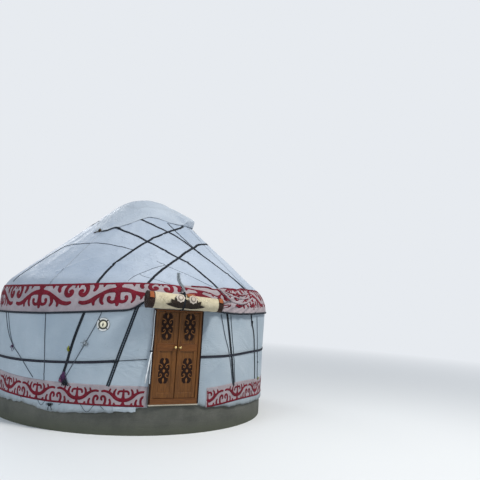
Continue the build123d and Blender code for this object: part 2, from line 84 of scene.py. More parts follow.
# %% Turn points into meshes
def new_piece(name, points, faces, material, uv=None, smooth=True):
    """A mesh object at the origin; uv gives one pair for each point."""
    mesh = bpy.data.meshes.new(name)
    mesh.from_pydata([tuple(p) for p in points], [], faces)
    mesh.materials.append(material)
    if uv is not None:
        layer = mesh.uv_layers.new(name="cloth")
        corners = np.empty(len(mesh.loops), dtype=int)
        mesh.loops.foreach_get("vertex_index", corners)
        layer.data.foreach_set("uv", np.asarray(uv, dtype=float)[corners].ravel())
    mesh.shade_smooth() if smooth else mesh.shade_flat()
    piece = bpy.data.objects.new(name, mesh)
    scene.collection.objects.link(piece)
    return piece


def grid_faces(columns, rows, closed=False):
    """Quads of a grid whose points run down each column, facing the outer side."""
    faces = []
    for i in range(columns if closed else columns - 1):
        j = (i + 1) % columns
        for k in range(rows - 1):
            faces.append((i * rows + k, j * rows + k, j * rows + k + 1, i * rows + k + 1))
    return faces


def sleeve_faces(rings, sides, first=0):
    """Quads between closed rings of points that follow each other."""
    faces = []
    for low in range(first, first + (rings - 1) * sides, sides):
        for s in range(sides):
            t = (s + 1) % sides
            faces.append((low + s, low + t, low + sides + t, low + sides + s))
    return faces


def cloth_piece(name, points, across, up, material, closed=False):
    """A sheet from a grid of points; across and up say where each lies on the flat cloth."""
    columns, rows = across.shape
    return new_piece(name, points.reshape(-1, 3), grid_faces(columns, rows, closed), material,
                     np.stack([across, up], -1).reshape(-1, 2))


def grid(across, along):
    """Two arrays that hold every pair of the given values, column by column."""
    return np.meshgrid(across, along, indexing="ij")


print("mesh helpers ready")

# %% [markdown]
# ## Helpers that finish a piece
# Cloth gets its thickness from a Solidify modifier, which is applied at once, so that every piece
# is a plain mesh. `mark` stores a number at every point, such as how dirty it is, for
# a material to read. `settle` hides the nodes a piece stands for and attaches it to its body, and
# `settle_canvas` does all of this for a sheet of canvas.

# %% Thicken, mark and settle
def apply_all(piece):
    """Bake the modifiers of a piece into its mesh."""
    graph = bpy.context.evaluated_depsgraph_get()
    baked = bpy.data.meshes.new_from_object(piece.evaluated_get(graph))
    piece.modifiers.clear()
    piece.data = baked
    return piece


def thicken(piece, thickness):
    """Give an open sheet its thickness, inwards from its points."""
    solid = piece.modifiers.new("thickness", "SOLIDIFY")
    solid.thickness = thickness
    solid.offset = -1.0
    solid.use_even_offset = False
    return apply_all(piece)


def mark(piece, name, values):
    """Store a number at every point, for a material to read."""
    attribute = piece.data.attributes.new(name, "FLOAT", "POINT")
    spread = np.broadcast_to(np.ravel(values), len(piece.data.vertices))
    attribute.data.foreach_set("value", spread.astype(np.float32))


def settle(piece, slot, *stands_for, body="root"):
    """Hide the nodes a piece stands for and attach it to the body that carries it; slot is not used."""
    if stands_for:
        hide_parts(*stands_for)
    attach(piece, body)
    return piece


canvas_thickness = 0.003


def settle_canvas(piece, creased, grime, *stands_for):
    """Mark a sheet of canvas with its creases and dirt, thicken it and settle it."""
    mark(piece, "creased", creased)
    mark(piece, "grime", grime)
    thicken(piece, canvas_thickness)
    settle(piece, "canvas", *stands_for)


print("finishing helpers ready")

# %% [markdown]
# ## Soft numbers
# Cloth is never even, and most folds further on are sums of three simple things: `smooth_noise`
# gives soft hills that are the same on every run, `bell` a bump and `ease` a smooth step.

# %% Make bumps, steps and noise
def smooth_noise(x, y, seed, period=0):
    """Soft random hills between -1 and 1, the same on every run."""
    x, y = np.broadcast_arrays(x, y)
    left, low = np.floor(x), np.floor(y)
    ease_x, ease_y = x - left, y - low
    ease_x = ease_x * ease_x * (3 - 2 * ease_x)
    ease_y = ease_y * ease_y * (3 - 2 * ease_y)

    def corner(a, b):
        if period:
            a = np.mod(a, period)
        chance = np.sin(a * 127.1 + b * 311.7 + seed * 74.7) * 43758.5453
        return 2 * (chance - np.floor(chance)) - 1

    bottom = corner(left, low) * (1 - ease_x) + corner(left + 1, low) * ease_x
    top = corner(left, low + 1) * (1 - ease_x) + corner(left + 1, low + 1) * ease_x
    return bottom * (1 - ease_y) + top * ease_y


def bell(distance, width):
    """A bump that is 1 in its middle and fades over a width."""
    return np.exp(-(distance / width) ** 2)


def ease(value, start, stop):
    """A smooth step from 0 at start to 1 at stop."""
    t = np.clip((value - start) / (stop - start), 0, 1)
    return t * t * (3 - 2 * t)


print("a bell of width 1 is", round(float(bell(0.5, 1)), 2), "high at half its width")

# %% [markdown]
# ## The form of the yurt
# One function gives every point of the outer skin. `azimuth` is measured in degrees from the
# door, towards +X; `along` is the distance up the skin from the shoulder, so it is negative on
# the wall; `lift` moves the point off the skin. Straps, ropes and bands all call it, so they
# stay on the cloth.

# %% Describe the skin
ground_to_sill = 0.5
skin_radius = 2.75
wall_radius = 2.7376
shoulder_bend = 0.536
shoulder_z = ground_to_sill + 1.605
roof_pitch = radians(40.5)
crown_radius = 0.664
bend_turn = pi / 2 - roof_pitch
bend_length = shoulder_bend * bend_turn
bend_centre = skin_radius - shoulder_bend
slope_start = bend_centre + shoulder_bend * cos(bend_turn)
slope_length = (slope_start - crown_radius) / cos(roof_pitch)
crown_along = bend_length + slope_length
dome_radius = crown_radius / sin(roof_pitch)
apex_along = crown_along + dome_radius * roof_pitch
wall_drop = wall_radius - skin_radius


def skin(azimuth, along, lift=0.0):
    """Points of the outer skin."""
    azimuth, along, lift = np.broadcast_arrays(azimuth, along, lift)
    bent = np.clip(along / shoulder_bend, 0, bend_turn)
    straight = np.clip(along - bend_length, 0, slope_length)
    radius = bend_centre + (shoulder_bend + lift) * np.cos(bent) - straight * cos(roof_pitch)
    height = (shoulder_z + (shoulder_bend + lift) * np.sin(bent)
              + straight * sin(roof_pitch) + np.minimum(along, 0))
    over = np.maximum(along - crown_along, 0) / dome_radius
    dome_centre = (shoulder_z + shoulder_bend * sin(bend_turn)
                   + slope_length * sin(roof_pitch) - dome_radius * cos(roof_pitch))
    on_dome = over > 0
    radius = np.where(on_dome, (dome_radius + lift) * np.sin(roof_pitch - over), radius)
    height = np.where(on_dome, dome_centre + (dome_radius + lift) * np.cos(roof_pitch - over), height)
    turned = np.radians(azimuth)
    return np.stack([radius * np.sin(turned), -radius * np.cos(turned), height], -1)


def outward_at(azimuth, along):
    """Directions straight away from the skin."""
    return skin(azimuth, along, 1.0) - skin(azimuth, along, 0.0)


def along_at(radius):
    """Distance up the skin at a radius from the axis."""
    bent = np.arccos(np.clip((radius - bend_centre) / shoulder_bend, -1, 1))
    on_slope = bend_length + (slope_start - radius) / cos(roof_pitch)
    dome = apex_along - dome_radius * np.arcsin(np.clip(radius / dome_radius, 0, 1))
    return np.where(radius > slope_start, shoulder_bend * bent,
                    np.where(radius > crown_radius, on_slope, dome))


def round_values(azimuth, places, values, blur=4.0):
    """A smooth closed curve through a few values, given round the yurt."""
    ring = np.arange(0, 360, 0.5)
    order = np.argsort(np.mod(places, 360))
    known_at, known = np.mod(places, 360)[order], np.asarray(values, float)[order]
    known_at = np.concatenate([known_at - 360, known_at, known_at + 360])
    level = np.interp(ring, known_at, np.tile(known, 3))
    window = bell(np.arange(-24, 25) * 0.5, blur)
    level = np.concatenate([level[-24:], level, level[:24]])
    level = np.convolve(level, window / window.sum(), "valid")
    return np.interp(np.mod(azimuth, 360), np.append(ring, 360), np.append(level, level[0]))


print("skin runs", round(float(apex_along), 3), "m from shoulder to apex")

# %% [markdown]
# ## Helpers for materials
# Each finish is a small node tree: a base colour that two or three noises vary, a roughness that
# follows them, and a bump. `add` places one node and joins whatever it is given.

# %% Build node trees
def colour(text):
    """Linear colour of a web hex value."""
    parts = [int(text[k:k + 2], 16) / 255 for k in (0, 2, 4)]
    return tuple(p / 12.92 if p <= 0.04045 else ((p + 0.055) / 1.055) ** 2.4 for p in parts) + (1.0,)


def add(tree, kind, inputs=None, **settings):
    """Add a node, set its values and link its inputs."""
    node = tree.nodes.new(kind)
    for name, value in settings.items():
        setattr(node, name, value)
    for key, value in (inputs or {}).items():
        if isinstance(value, bpy.types.NodeSocket):
            tree.links.new(value, node.inputs[key])
        else:
            node.inputs[key].default_value = value
    return node


def new_material(name, roughness=0.6, **values):
    """A material with its Principled shader."""
    made = bpy.data.materials.new(name)
    made.use_nodes = True
    shader = made.node_tree.nodes["Principled BSDF"]
    shader.inputs["Roughness"].default_value = roughness
    for key, value in values.items():
        shader.inputs[key.replace("_", " ")].default_value = value
    return made, made.node_tree, shader


def coordinates(tree, kind="Object", scale=(1, 1, 1), turned=(0, 0, 0)):
    """Coordinates of a piece, stretched where a pattern needs it."""
    source = add(tree, "ShaderNodeTexCoord").outputs[kind]
    return add(tree, "ShaderNodeMapping", {"Vector": source, "Scale": scale, "Rotation": turned}).outputs[0]


def noise(tree, place, scale, detail=3.0, rough=0.5, distortion=0.0):
    """Fractal noise from 0 to 1."""
    return add(tree, "ShaderNodeTexNoise", {
        "Vector": place, "Scale": scale, "Detail": detail, "Roughness": rough,
        "Distortion": distortion}).outputs[0]


def ramp(tree, value, *stops):
    """Map a value to colours or greys, stop by stop."""
    node = add(tree, "ShaderNodeValToRGB", {"Fac": value})
    elements = node.color_ramp.elements
    while len(elements) < len(stops):
        elements.new(0.5)
    for element, (place, tone) in zip(elements, stops):
        element.position = place
        element.color = tone if isinstance(tone, tuple) else (tone, tone, tone, 1)
    return node.outputs[0]


def mix(tree, factor, first, second, mode="MIX"):
    """Blend two colours."""
    return add(tree, "ShaderNodeMix", {0: factor, 6: first, 7: second},
               data_type="RGBA", blend_type=mode).outputs[2]


def stain(tree, base, field, start, stop, share, tone):
    """Blend a tone into a colour where a field rises from start to stop."""
    return mix(tree, ramp(tree, field, (start, 0.0), (stop, share)), base, colour(tone))


def calculate(tree, operation, first, second=0.0):
    """One sum on two numbers."""
    return add(tree, "ShaderNodeMath", {0: first, 1: second}, operation=operation).outputs[0]


def bump(tree, height, distance, strength=1.0, normal=None):
    """Turn a height into a normal; distance is the height of white in metres."""
    inputs = {"Height": height, "Distance": distance, "Strength": strength}
    if normal is not None:
        inputs["Normal"] = normal
    return add(tree, "ShaderNodeBump", inputs).outputs[0]


def threads(tree, scale, direction):
    """One set of threads of a weave, in the cloth's own UV map."""
    return add(tree, "ShaderNodeTexWave", {"Vector": coordinates(tree, "UV"), "Scale": scale},
               bands_direction=direction).outputs[1]


def read(tree, name):
    """A number stored on the mesh by mark()."""
    return add(tree, "ShaderNodeAttribute", attribute_name=name).outputs["Fac"]


def dress(tree, shader, base, normal=None, rough=None):
    """Join a colour, a normal and a roughness to the shader."""
    for name, value in (("Base Color", base), ("Normal", normal), ("Roughness", rough)):
        if value is not None:
            tree.links.new(value, shader.inputs[name])


print("node helpers ready")

# %% [markdown]
# ## Canvas
# The covers are pale, lightly coated canvas. Three things make it read as cloth: broad faint
# stains, a grey line of dirt wherever the mesh is marked with `grime`, and creases that catch the
# light. The creases are ridged noise in the bump, strongest where `creased` is marked.

# %% Mix the canvas
canvas_roughness = 0.5


def make_canvas(name, clean, shade):
    """Coated canvas with stains, grime and creases."""
    made, tree, shader = new_material(name, canvas_roughness, Specular_IOR_Level=0.25)
    place = coordinates(tree)
    cloudy = noise(tree, place, 5.0, 5.0, 0.6)
    base = stain(tree, colour(clean), noise(tree, place, 0.9, 4.0, 0.55), 0.35, 0.68, 1.0, shade)
    base = stain(tree, base, cloudy, 0.5, 0.85, 0.3, "a3abb3")
    streaks = noise(tree, coordinates(tree, scale=(7, 7, 0.7)), 1.6, 4.0, 0.6)
    base = stain(tree, base, streaks, 0.55, 0.85, 0.35, "959ea8")
    dirt = ramp(tree, noise(tree, place, 14.0, 6.0, 0.7), (0.3, 0.35), (0.7, 1.0))
    dirt = calculate(tree, "MULTIPLY", read(tree, "grime"), dirt)
    base = mix(tree, dirt, base, colour("55564f"))
    base = stain(tree, base, noise(tree, place, 38.0, 2.0, 0.5), 0.68, 0.76, 0.35, "7c7f7d")
    rough = ramp(tree, cloudy, (0.3, canvas_roughness - 0.08), (0.75, canvas_roughness + 0.16))
    slanted = coordinates(tree, scale=(1, 1, 2.2), turned=(0.3, 0.5, 0.4))
    folds = noise(tree, slanted, 4.0, 3.0, 0.5, 1.0)
    ridge = calculate(tree, "ABSOLUTE", calculate(tree, "SUBTRACT", folds, 0.5))
    ridge = ramp(tree, ridge, (0.0, 1.0), (0.07, 0.3), (0.28, 0.0))
    creased = calculate(tree, "MULTIPLY", ridge, read(tree, "creased"))
    soft = bump(tree, noise(tree, place, 2.2, 2.0, 0.4), 0.03, 0.3)
    bent = bump(tree, creased, 0.014, 0.6, soft)
    weave = calculate(tree, "MULTIPLY", threads(tree, 90.0, "X"), threads(tree, 90.0, "Y"))
    dress(tree, shader, base, bump(tree, weave, 0.0006, 0.35, bent), rough)
    return made


roof_canvas_finish = make_canvas("roof_canvas", "a5b0bf", "929fb0")
wall_canvas_finish = make_canvas("wall_canvas", "a4b0ba", "909eaa")
edge_canvas_finish = make_canvas("edge_canvas", "eceef0", "d8dbde")
# Paler than the wall canvas: it paints the highlight along the canvas edge by the door.
edge_highlight_finish = make_canvas("edge_painted_highlight", "c6ccd2", "b2b9c0")
crown_canvas_finish = make_canvas("crown_canvas", "abb5c1", "98a3b1")
print("canvas finishes mixed")

# %% [markdown]
# ## Ornament cloth, rope and strap
# The bands are light cotton with a printed crimson ornament, faded by the sun. Straps are woven
# tape, so their bump is a fine rib across the tape; rope has a slanting strand that the UV map
# winds round it.

# %% Mix the cloths and cords
def make_cloth(name, main, worn, weave=60.0, roughness=0.82):
    """Plain woven cloth with faded patches."""
    made, tree, shader = new_material(name, roughness, Specular_IOR_Level=0.12)
    place = coordinates(tree)
    faded = noise(tree, place, 4.0, 5.0, 0.6)
    base = stain(tree, colour(main), faded, 0.35, 0.75, 1.0, worn)
    base = stain(tree, base, noise(tree, place, 45.0, 3.0, 0.6), 0.4, 0.9, 0.25, "6b6560")
    cross = calculate(tree, "MULTIPLY", threads(tree, weave, "X"), threads(tree, weave, "Y"))
    puckers = noise(tree, coordinates(tree, "UV", scale=(3, 1, 1)), 5.0, 3.0, 0.5)
    dress(tree, shader, base, bump(tree, cross, 0.0008, 0.4, bump(tree, puckers, 0.02, 0.4)))
    return made


def bands_across(tree, place, scale):
    """Even bands across the first coordinate, for a rib or a strand."""
    return add(tree, "ShaderNodeTexWave", {"Vector": place, "Scale": scale}, bands_direction="X").outputs[1]


def make_tape(name, main, line=None):
    """Woven tape with a rib across it and, if asked, a pale broken line along its middle."""
    made, tree, shader = new_material(name, 0.8, Specular_IOR_Level=0.15)
    place = coordinates(tree, "UV")
    rib = bands_across(tree, place, 40.0)
    base = mix(tree, noise(tree, coordinates(tree), 6.0, 4.0), colour(main), colour("262b32"))
    if line:
        split = add(tree, "ShaderNodeSeparateXYZ", {0: place})
        middle = calculate(tree, "COSINE", calculate(tree, "MULTIPLY", split.outputs[1], 130.0))
        dashes = calculate(tree, "SINE", calculate(tree, "MULTIPLY", split.outputs[0], 150.0))
        middle = calculate(tree, "MULTIPLY", ramp(tree, middle, (0.55, 0.0), (0.7, 1.0)),
                           ramp(tree, dashes, (-0.5, 0.45), (0.1, 1.0)))
        base = mix(tree, middle, base, colour(line))
    dress(tree, shader, base, bump(tree, rib, 0.001, 0.5))
    return made


def make_rope(name, main, shade):
    """Laid rope: a strand winds round it."""
    made, tree, shader = new_material(name, 0.85, Specular_IOR_Level=0.15)
    place = coordinates(tree, "UV", turned=(0, 0, radians(40)))
    strand = bands_across(tree, place, 26.0)
    # The grooves between the strands are painted darker than their crowns: painted shade.
    dress(tree, shader, mix(tree, strand, colour(shade), colour(main)), bump(tree, strand, 0.002, 0.7))
    return made


band_cloth_finish = make_cloth("band_cloth", "a0979c", "857d83")
crimson_finish = make_cloth("crimson_ornament", "6e0c24", "500918", roughness=0.75)
strap_finish = make_tape("black_strap", "0f1318")
striped_strap_finish = make_tape("striped_strap", "12171d", "5f6973")
belt_finish = make_tape("belt_tape", "17181f", "343340")
rope_finish = make_rope("dark_rope", "343a42", "14171b")
pale_rope_finish = make_rope("grey_rope", "5d656e", "333a42")
sling_finish = make_tape("grey_sling", "2f373e", "929ca3")
stained_rope_finish = make_rope("stained_rope", "4d3f2c", "241d14")
print("cloth and cord finishes mixed")

# %% [markdown]
# ## Wood
# The door is pine under orange varnish: the grain is stretched noise along the board, and the
# varnish is a clear coat. The boards of the rails turn the grain to run across.

# %% Mix the woods
def make_wood(name, light, dark, coat=0.0, roughness=0.45, grain=(14, 14, 1.2)):
    """Wood with its grain along Z, and a coat of varnish if asked."""
    made, tree, shader = new_material(name, roughness, Coat_Weight=coat, Coat_Roughness=0.3,
                                      Specular_IOR_Level=0.25)
    place = coordinates(tree, scale=grain)
    rings = noise(tree, place, 2.2, 6.0, 0.62, 1.6)
    pores = noise(tree, coordinates(tree, scale=(90, 90, 5)), 3.0, 3.0, 0.6)
    base = stain(tree, colour(light), rings, 0.32, 0.68, 1.0, dark)
    base = stain(tree, base, pores, 0.5, 0.8, 0.45, "2a1206")
    base = stain(tree, base, noise(tree, coordinates(tree), 3.2, 4.0), 0.5, 0.8, 0.4, light)
    rough = ramp(tree, rings, (0.3, roughness - 0.1), (0.7, roughness + 0.12))
    dress(tree, shader, base, bump(tree, rings, 0.0012, 0.35), rough)
    return made


door_wood_finish = make_wood("varnished_door", "70461a", "47290b", coat=0.12, roughness=0.5)
rail_wood_finish = make_wood("varnished_rail", "704318", "48270b", coat=0.12, roughness=0.5,
                             grain=(1.2, 14, 14))
scroll_wood_finish = make_wood("scroll_wood", "8a5b2a", "5e3915", coat=0.1, roughness=0.5)
frame_wood_finish = make_wood("frame_poles", "9a7448", "6b4a29", roughness=0.6)
print("woods mixed")

# %% [markdown]
# ## Felt and wool
# Felt has no weave, only soft lumps and short fibres, and the curtain's has dried into a net of
# fine cracks, which a Voronoi texture draws. The wool of the tassels is the same felt, dyed.

# %% Mix the felts
def make_felt(name, light, dark, cracks=0.0):
    """Felted wool, with dried cracks if asked."""
    made, tree, shader = new_material(name, 0.95, Sheen_Weight=0.1, Specular_IOR_Level=0.1)
    place = coordinates(tree)
    lumps = noise(tree, place, 9.0, 5.0, 0.65)
    base = stain(tree, colour(light), lumps, 0.3, 0.75, 1.0, dark)
    fibres = noise(tree, place, 120.0, 3.0, 0.7)
    base = stain(tree, base, fibres, 0.45, 0.8, 0.3, "8b8377")
    height = lumps
    if cracks:
        net = add(tree, "ShaderNodeTexVoronoi", {"Vector": place, "Scale": 26.0},
                  feature="DISTANCE_TO_EDGE").outputs["Distance"]
        line = ramp(tree, net, (0.0, 1.0), (0.06, 0.0))
        where = ramp(tree, noise(tree, place, 5.0), (0.4, 0.0), (0.62, cracks))
        line = calculate(tree, "MULTIPLY", line, where)
        base = mix(tree, line, base, colour("5c5547"))
        height = calculate(tree, "SUBTRACT", lumps, line)
    dress(tree, shader, base, bump(tree, fibres, 0.0015, 0.5, bump(tree, height, 0.008, 0.5)))
    return made


cream_felt_finish = make_felt("cream_felt", "cbc2a8", "b3a98e", cracks=0.8)
dark_felt_finish = make_felt("brown_felt", "2e1a16", "1c100e")
# The orange felt lies on the top of the roll, so it is partly orange felt and partly painted sunlight.
orange_and_sunlight_finish = make_felt("orange_felt_and_painted_sun", "9c5a33", "7c4023")
black_felt_finish = make_felt("black_felt", "17120f", "241a15")
rosette_finish = make_felt("rosette_felt", "c9c1b6", "aa9c8f")
rosette_ring_finish = make_felt("rosette_ring", "8b8177", "6a6058")
purple_wool_finish = make_felt("purple_wool", "4a2350", "2b1833")
green_wool_finish = make_felt("green_wool", "8a8f2e", "666b1e")
pink_wool_finish = make_felt("pink_wool", "a14a6c", "7a3050")
print("felts and wools mixed")

# %% [markdown]
# ## Concrete, tin, brass and iron
# The plinth is cast concrete: grit and pits in its bump, and a darker, greener tone towards its foot,
# which follows the height. The metals and the dark carvings only need small spots of a second tone.

# %% Mix the hard finishes
def make_concrete(name, light, dark):
    """Cast concrete with pores, board lines and a darker, greener tone towards its foot."""
    made, tree, shader = new_material(name, 0.9)
    place = coordinates(tree)
    sunlit_patches = noise(tree, place, 2.5, 6.0, 0.65)
    grit = noise(tree, place, 60.0, 4.0, 0.7)
    base = stain(tree, colour(light), sunlit_patches, 0.3, 0.72, 1.0, dark)
    base = stain(tree, base, grit, 0.4, 0.8, 0.5, "3b3d3a")
    height = add(tree, "ShaderNodeSeparateXYZ", {0: place}).outputs[2]
    rise = calculate(tree, "ADD", height, calculate(tree, "MULTIPLY", sunlit_patches, 0.25))
    # Darker and greener towards the ground.
    base = mix(tree, ramp(tree, rise, (0.12, 0.75), (0.36, 0.0)), base, colour("3f4434"))
    boards = noise(tree, coordinates(tree, scale=(1, 1, 9)), 1.2, 2.0)
    dress(tree, shader, base, bump(tree, boards, 0.02, 0.5, bump(tree, grit, 0.004, 0.6)))
    return made


def make_speckled(name, roughness, light, dark, scale, detail=3.0, **values):
    """A plain hard finish with spots of a second tone."""
    made, tree, shader = new_material(name, roughness, **values)
    spots = noise(tree, coordinates(tree), scale, detail)
    dress(tree, shader, mix(tree, spots, colour(light), colour(dark)))
    return made


concrete_finish = make_concrete("cast_concrete", "5d5e58", "41433e")
sill_finish = make_concrete("worn_sill", "b9b4a4", "98927f")
carving_finish = make_speckled("dark_carving", 0.7, "120705", "24120c", 40.0, Specular_IOR_Level=0.15)
tin_finish = make_speckled("tin_rim", 0.34, "e4e6e6", "a9adad", 34.0, 4.0, Metallic=0.7)
boss_finish = make_speckled("pale_boss", 0.4, "e6e2cc", "c4bfa4", 40.0, Metallic=0.25)
olive_finish = make_speckled("olive_enamel", 0.45, "3c3d31", "23251d", 22.0, 4.0)
brass_finish = make_speckled("worn_brass", 0.28, "d8c48e", "a88f58", 30.0, Metallic=1.0)
iron_finish = make_speckled("black_iron", 0.5, "1c1c1e", "34302c", 50.0, Metallic=0.8)
print("hard finishes mixed")

# %% [markdown]
# ## How the roof canvas lies
# The canvas is pulled over felt and forty poles. It rises slightly over every pole, sags between
# them, and is creased most over the door, where the ropes drag it about. This function gives its
# rise above the plain skin, so that whatever lies on the canvas can follow it.

# %% Shape the roof canvas
pole_step = 9.0
roof_creases = (
    ((-20.6, 2.58), (-13.0, 2.37), (-7.5, 2.20), (-3.9, 2.14)),
    ((-1.5, 2.25), (5.0, 2.36), (12.7, 2.56)),
    ((-14.0, 2.05), (-6.0, 1.86), (2.0, 1.80)),
    ((6.0, 2.10), (14.0, 2.02), (22.0, 2.12)),
    ((-30.0, 2.30), (-22.0, 2.12), (-14.0, 2.10)),
    ((20.0, 2.50), (27.0, 2.30), (35.0, 2.22)),
    ((-52.0, 2.45), (-44.0, 2.20), (-38.0, 2.10)),
    ((-9.0, 1.55), (0.0, 1.42), (8.0, 1.45)),
)


def near(azimuth, middle):
    """Signed turn from a middle azimuth, between -180 and 180."""
    return np.mod(azimuth - middle + 180, 360) - 180


def crease_share(azimuth, along):
    """How creased the roof canvas is, from 0 to 1."""
    front = bell(near(azimuth, -3), 36) * ease(along, 0.25, 0.6) * (1 - ease(along, 1.7, 2.4))
    return np.clip(0.16 + 0.7 * front, 0, 1)


def crease_height(azimuth, along, reach, lines, narrow):
    """Sharp creases through (azimuth, along) places; reach is the distance from the axis."""
    x = np.radians(near(azimuth, 0)) * reach
    total = np.zeros(np.shape(x))
    for line in lines:
        for (turn_a, along_a), (turn_b, along_b) in zip(line, line[1:]):
            xa, xb = np.radians(turn_a) * reach, np.radians(turn_b) * reach
            dx, dy = xb - xa, along_b - along_a
            t = np.clip(((x - xa) * dx + (along - along_a) * dy) / (dx * dx + dy * dy), 0, 1)
            away = np.hypot(x - xa - t * dx, along - along_a - t * dy)
            total = np.maximum(total, bell(away, narrow) - 0.4 * bell(away, 3.2 * narrow))
    return total


def crease_lines(azimuth, along):
    """Height of the long creases that the ropes pull into the roof canvas."""
    radius = slope_start - np.clip(along - bend_length, 0, slope_length) * cos(roof_pitch)
    lines = [[(turn, float(along_at(r))) for turn, r in line] for line in roof_creases]
    return crease_height(azimuth, along, radius, lines, 0.028) * 0.021


def roof_rise(azimuth, along):
    """Rise of the roof canvas above the skin."""
    azimuth, along = np.broadcast_arrays(azimuth, along)
    up_slope = ease(along, 0.1, 0.5) * (1 - ease(along, 2.2, crown_along))
    poles = np.cos(np.radians(azimuth) * 360 / pole_step) * 0.0025
    reach = np.radians(near(azimuth, 0)) * (skin_radius - 0.7 * np.clip(along, 0, 2.9))
    turns = np.mod(azimuth, 360) / 360
    broad = smooth_noise(turns * 30, along * 2.2, 3, 30) * 0.009
    drag = along * 1.2 + reach * 0.75
    cross = reach * 1.1 - along * 0.8
    wrinkle = smooth_noise(drag * 3.4, cross * 1.1, 11) + 0.5 * smooth_noise(drag * 8.0, cross * 2.4, 12)
    sharp = (1 - np.clip(np.abs(wrinkle), 0, 1)) ** 2
    creases = crease_share(azimuth, along) * (sharp - 0.4) * 0.01
    return up_slope * (poles + broad + creases + crease_lines(azimuth, along))


middle_rise = roof_rise(np.arange(0, 360, 2), 1.5)
print("half way up, the roof canvas lies", round(float(np.ptp(middle_rise)) * 1000), "mm out of even")

# %% Lay the roof canvas
roof_lap = 5.0
columns = 150
alongs = np.concatenate([np.linspace(-0.03, bend_length, 14)[:-1],
                         np.linspace(bend_length, crown_along + 0.05, 108)])
for quarter in range(4):
    start = 45.0 + 90 * quarter
    spin, climb = grid(np.linspace(start - roof_lap, start + 90, columns), alongs)
    lapped = 0.004 * (1 - ease(spin, start - roof_lap * 0.6, start + 1))
    from_hem = spin - (start - roof_lap)
    hem_fold = 0.0016 * bell(from_hem - 0.35, 0.3)
    points = skin(spin, climb, roof_rise(spin, climb) + lapped + hem_fold)
    piece = cloth_piece(f"roof_canvas_{quarter + 1}", points, np.radians(spin) * skin_radius, climb,
                        roof_canvas_finish)
    grime = 0.5 * bell(from_hem, 0.5) + 0.25 * bell(climb - 0.35, 0.12)
    settle_canvas(piece, crease_share(spin, climb), grime, f"roof_cover_{quarter + 1}")
print("roof canvas in 4 pieces of", columns * len(alongs), "points")

# %% [markdown]
# ## The wall canvas
# Two long strips hang from the roof edge round the lattice and lap at the back. Their hem is
# uneven and hangs loose over the plinth, and the belt pulls them in a little.

# %% Say where the hem and the belt run
door_side_azimuth = 9.05
hem_places = [-90, -71, -64, -57, -51, -46, -42, -35, -28, -21, -15, -12, 10, 12, 30, 60, 90, 130, 170, 215,
              240]
hem_heights = [-0.14, -0.145, -0.152, -0.127, -0.145, -0.186, -0.197, -0.188, -0.165, -0.135, -0.085,
               -0.045, -0.03, -0.072, -0.12, -0.15, -0.13, -0.16, -0.12, -0.15, -0.13]
belt_places = [-90, -76, -66, -54, -41, -30, -20, -12, 10, 20, 30, 37, 61, 100, 150, 200, 240]
belt_heights = [0.53, 0.535, 0.545, 0.564, 0.598, 0.632, 0.682, 0.724, 0.779, 0.78, 0.807, 0.829, 0.83,
                0.79, 0.7, 0.6, 0.55]
wall_creases = [[(-21.0, 0.68), (-15.5, 0.635), (-10.8, 0.60)], [(-21.2, 0.66), (-16, 0.54), (-11, 0.44)],
                [(-21.5, 0.62), (-17.5, 0.45), (-12.5, 0.31)], [(-36.8, 0.60), (-32, 0.50), (-26, 0.43)],
                [(-38, 0.60), (-43, 0.49), (-47, 0.36)], [(22, 0.84), (17, 0.92), (11.5, 1.12)],
                [(22.5, 0.76), (17, 0.62), (11, 0.40)], [(24, 0.74), (29, 0.60), (34, 0.42)],
                [(40.5, 0.80), (35, 0.93), (29, 1.16)], [(-66, 0.56), (-60, 0.48), (-54, 0.36)],
                [(-34, 1.48), (-30, 1.34), (-29, 1.20)], [(-14.5, 1.46), (-12, 1.2), (-10.8, 0.9)]]
wall_creases += [[(a + 180, h) for a, h in line] for line in wall_creases]
medallion_azimuth = -26.3
medallion_height = 1.256


def belt_height(azimuth):
    """Height of the belt above the sill."""
    return round_values(azimuth, belt_places, belt_heights)


def wall_rise(azimuth, along):
    """Rise of the wall canvas above the wall; it lies flat beside the door and behind the medallion."""
    height = along + shoulder_z - ground_to_sill
    above_belt = height - belt_height(azimuth)
    pinch = -0.004 * bell(above_belt, 0.1)
    turns = np.mod(azimuth, 360) / 360
    slack = smooth_noise(turns * 36, height * 1.3, 21, 36) * 0.006
    drag = smooth_noise(turns * 120, above_belt * 2.4, 22, 120) * 0.0022 * bell(above_belt, 0.3)
    loose = (1 - ease(height, -0.2, 0.05)) * (0.009 + 0.012 * smooth_noise(turns * 90, height * 3, 23, 90))
    hold = ease(np.abs(near(azimuth, 0)), door_side_azimuth, door_side_azimuth + 1.5)
    beside = np.radians(near(azimuth, medallion_azimuth)) * 2.74
    hold = hold * (1 - ease(0.22 - np.hypot(beside, height - medallion_height), 0, 0.1))
    sharp = crease_height(azimuth, height, wall_radius, wall_creases, 0.022) * 0.009
    return (pinch + slack + drag + np.maximum(sharp, -0.003)) * hold + loose + 0.007


def cover_rise(azimuth, along):
    """Rise of whichever canvas is outermost, above the skin."""
    wall = wall_drop + wall_rise(azimuth, along)
    share = ease(along, -0.07, -0.03)
    return wall * (1 - share) + roof_rise(azimuth, along) * share


def wall_along(height):
    """Distance along the skin of a height above the sill."""
    return ground_to_sill + height - shoulder_z


print("the belt is", round(float(belt_height(0.0)), 3), "m above the sill at the door")

# %% Hang the wall canvas
lap_rise = 0.005


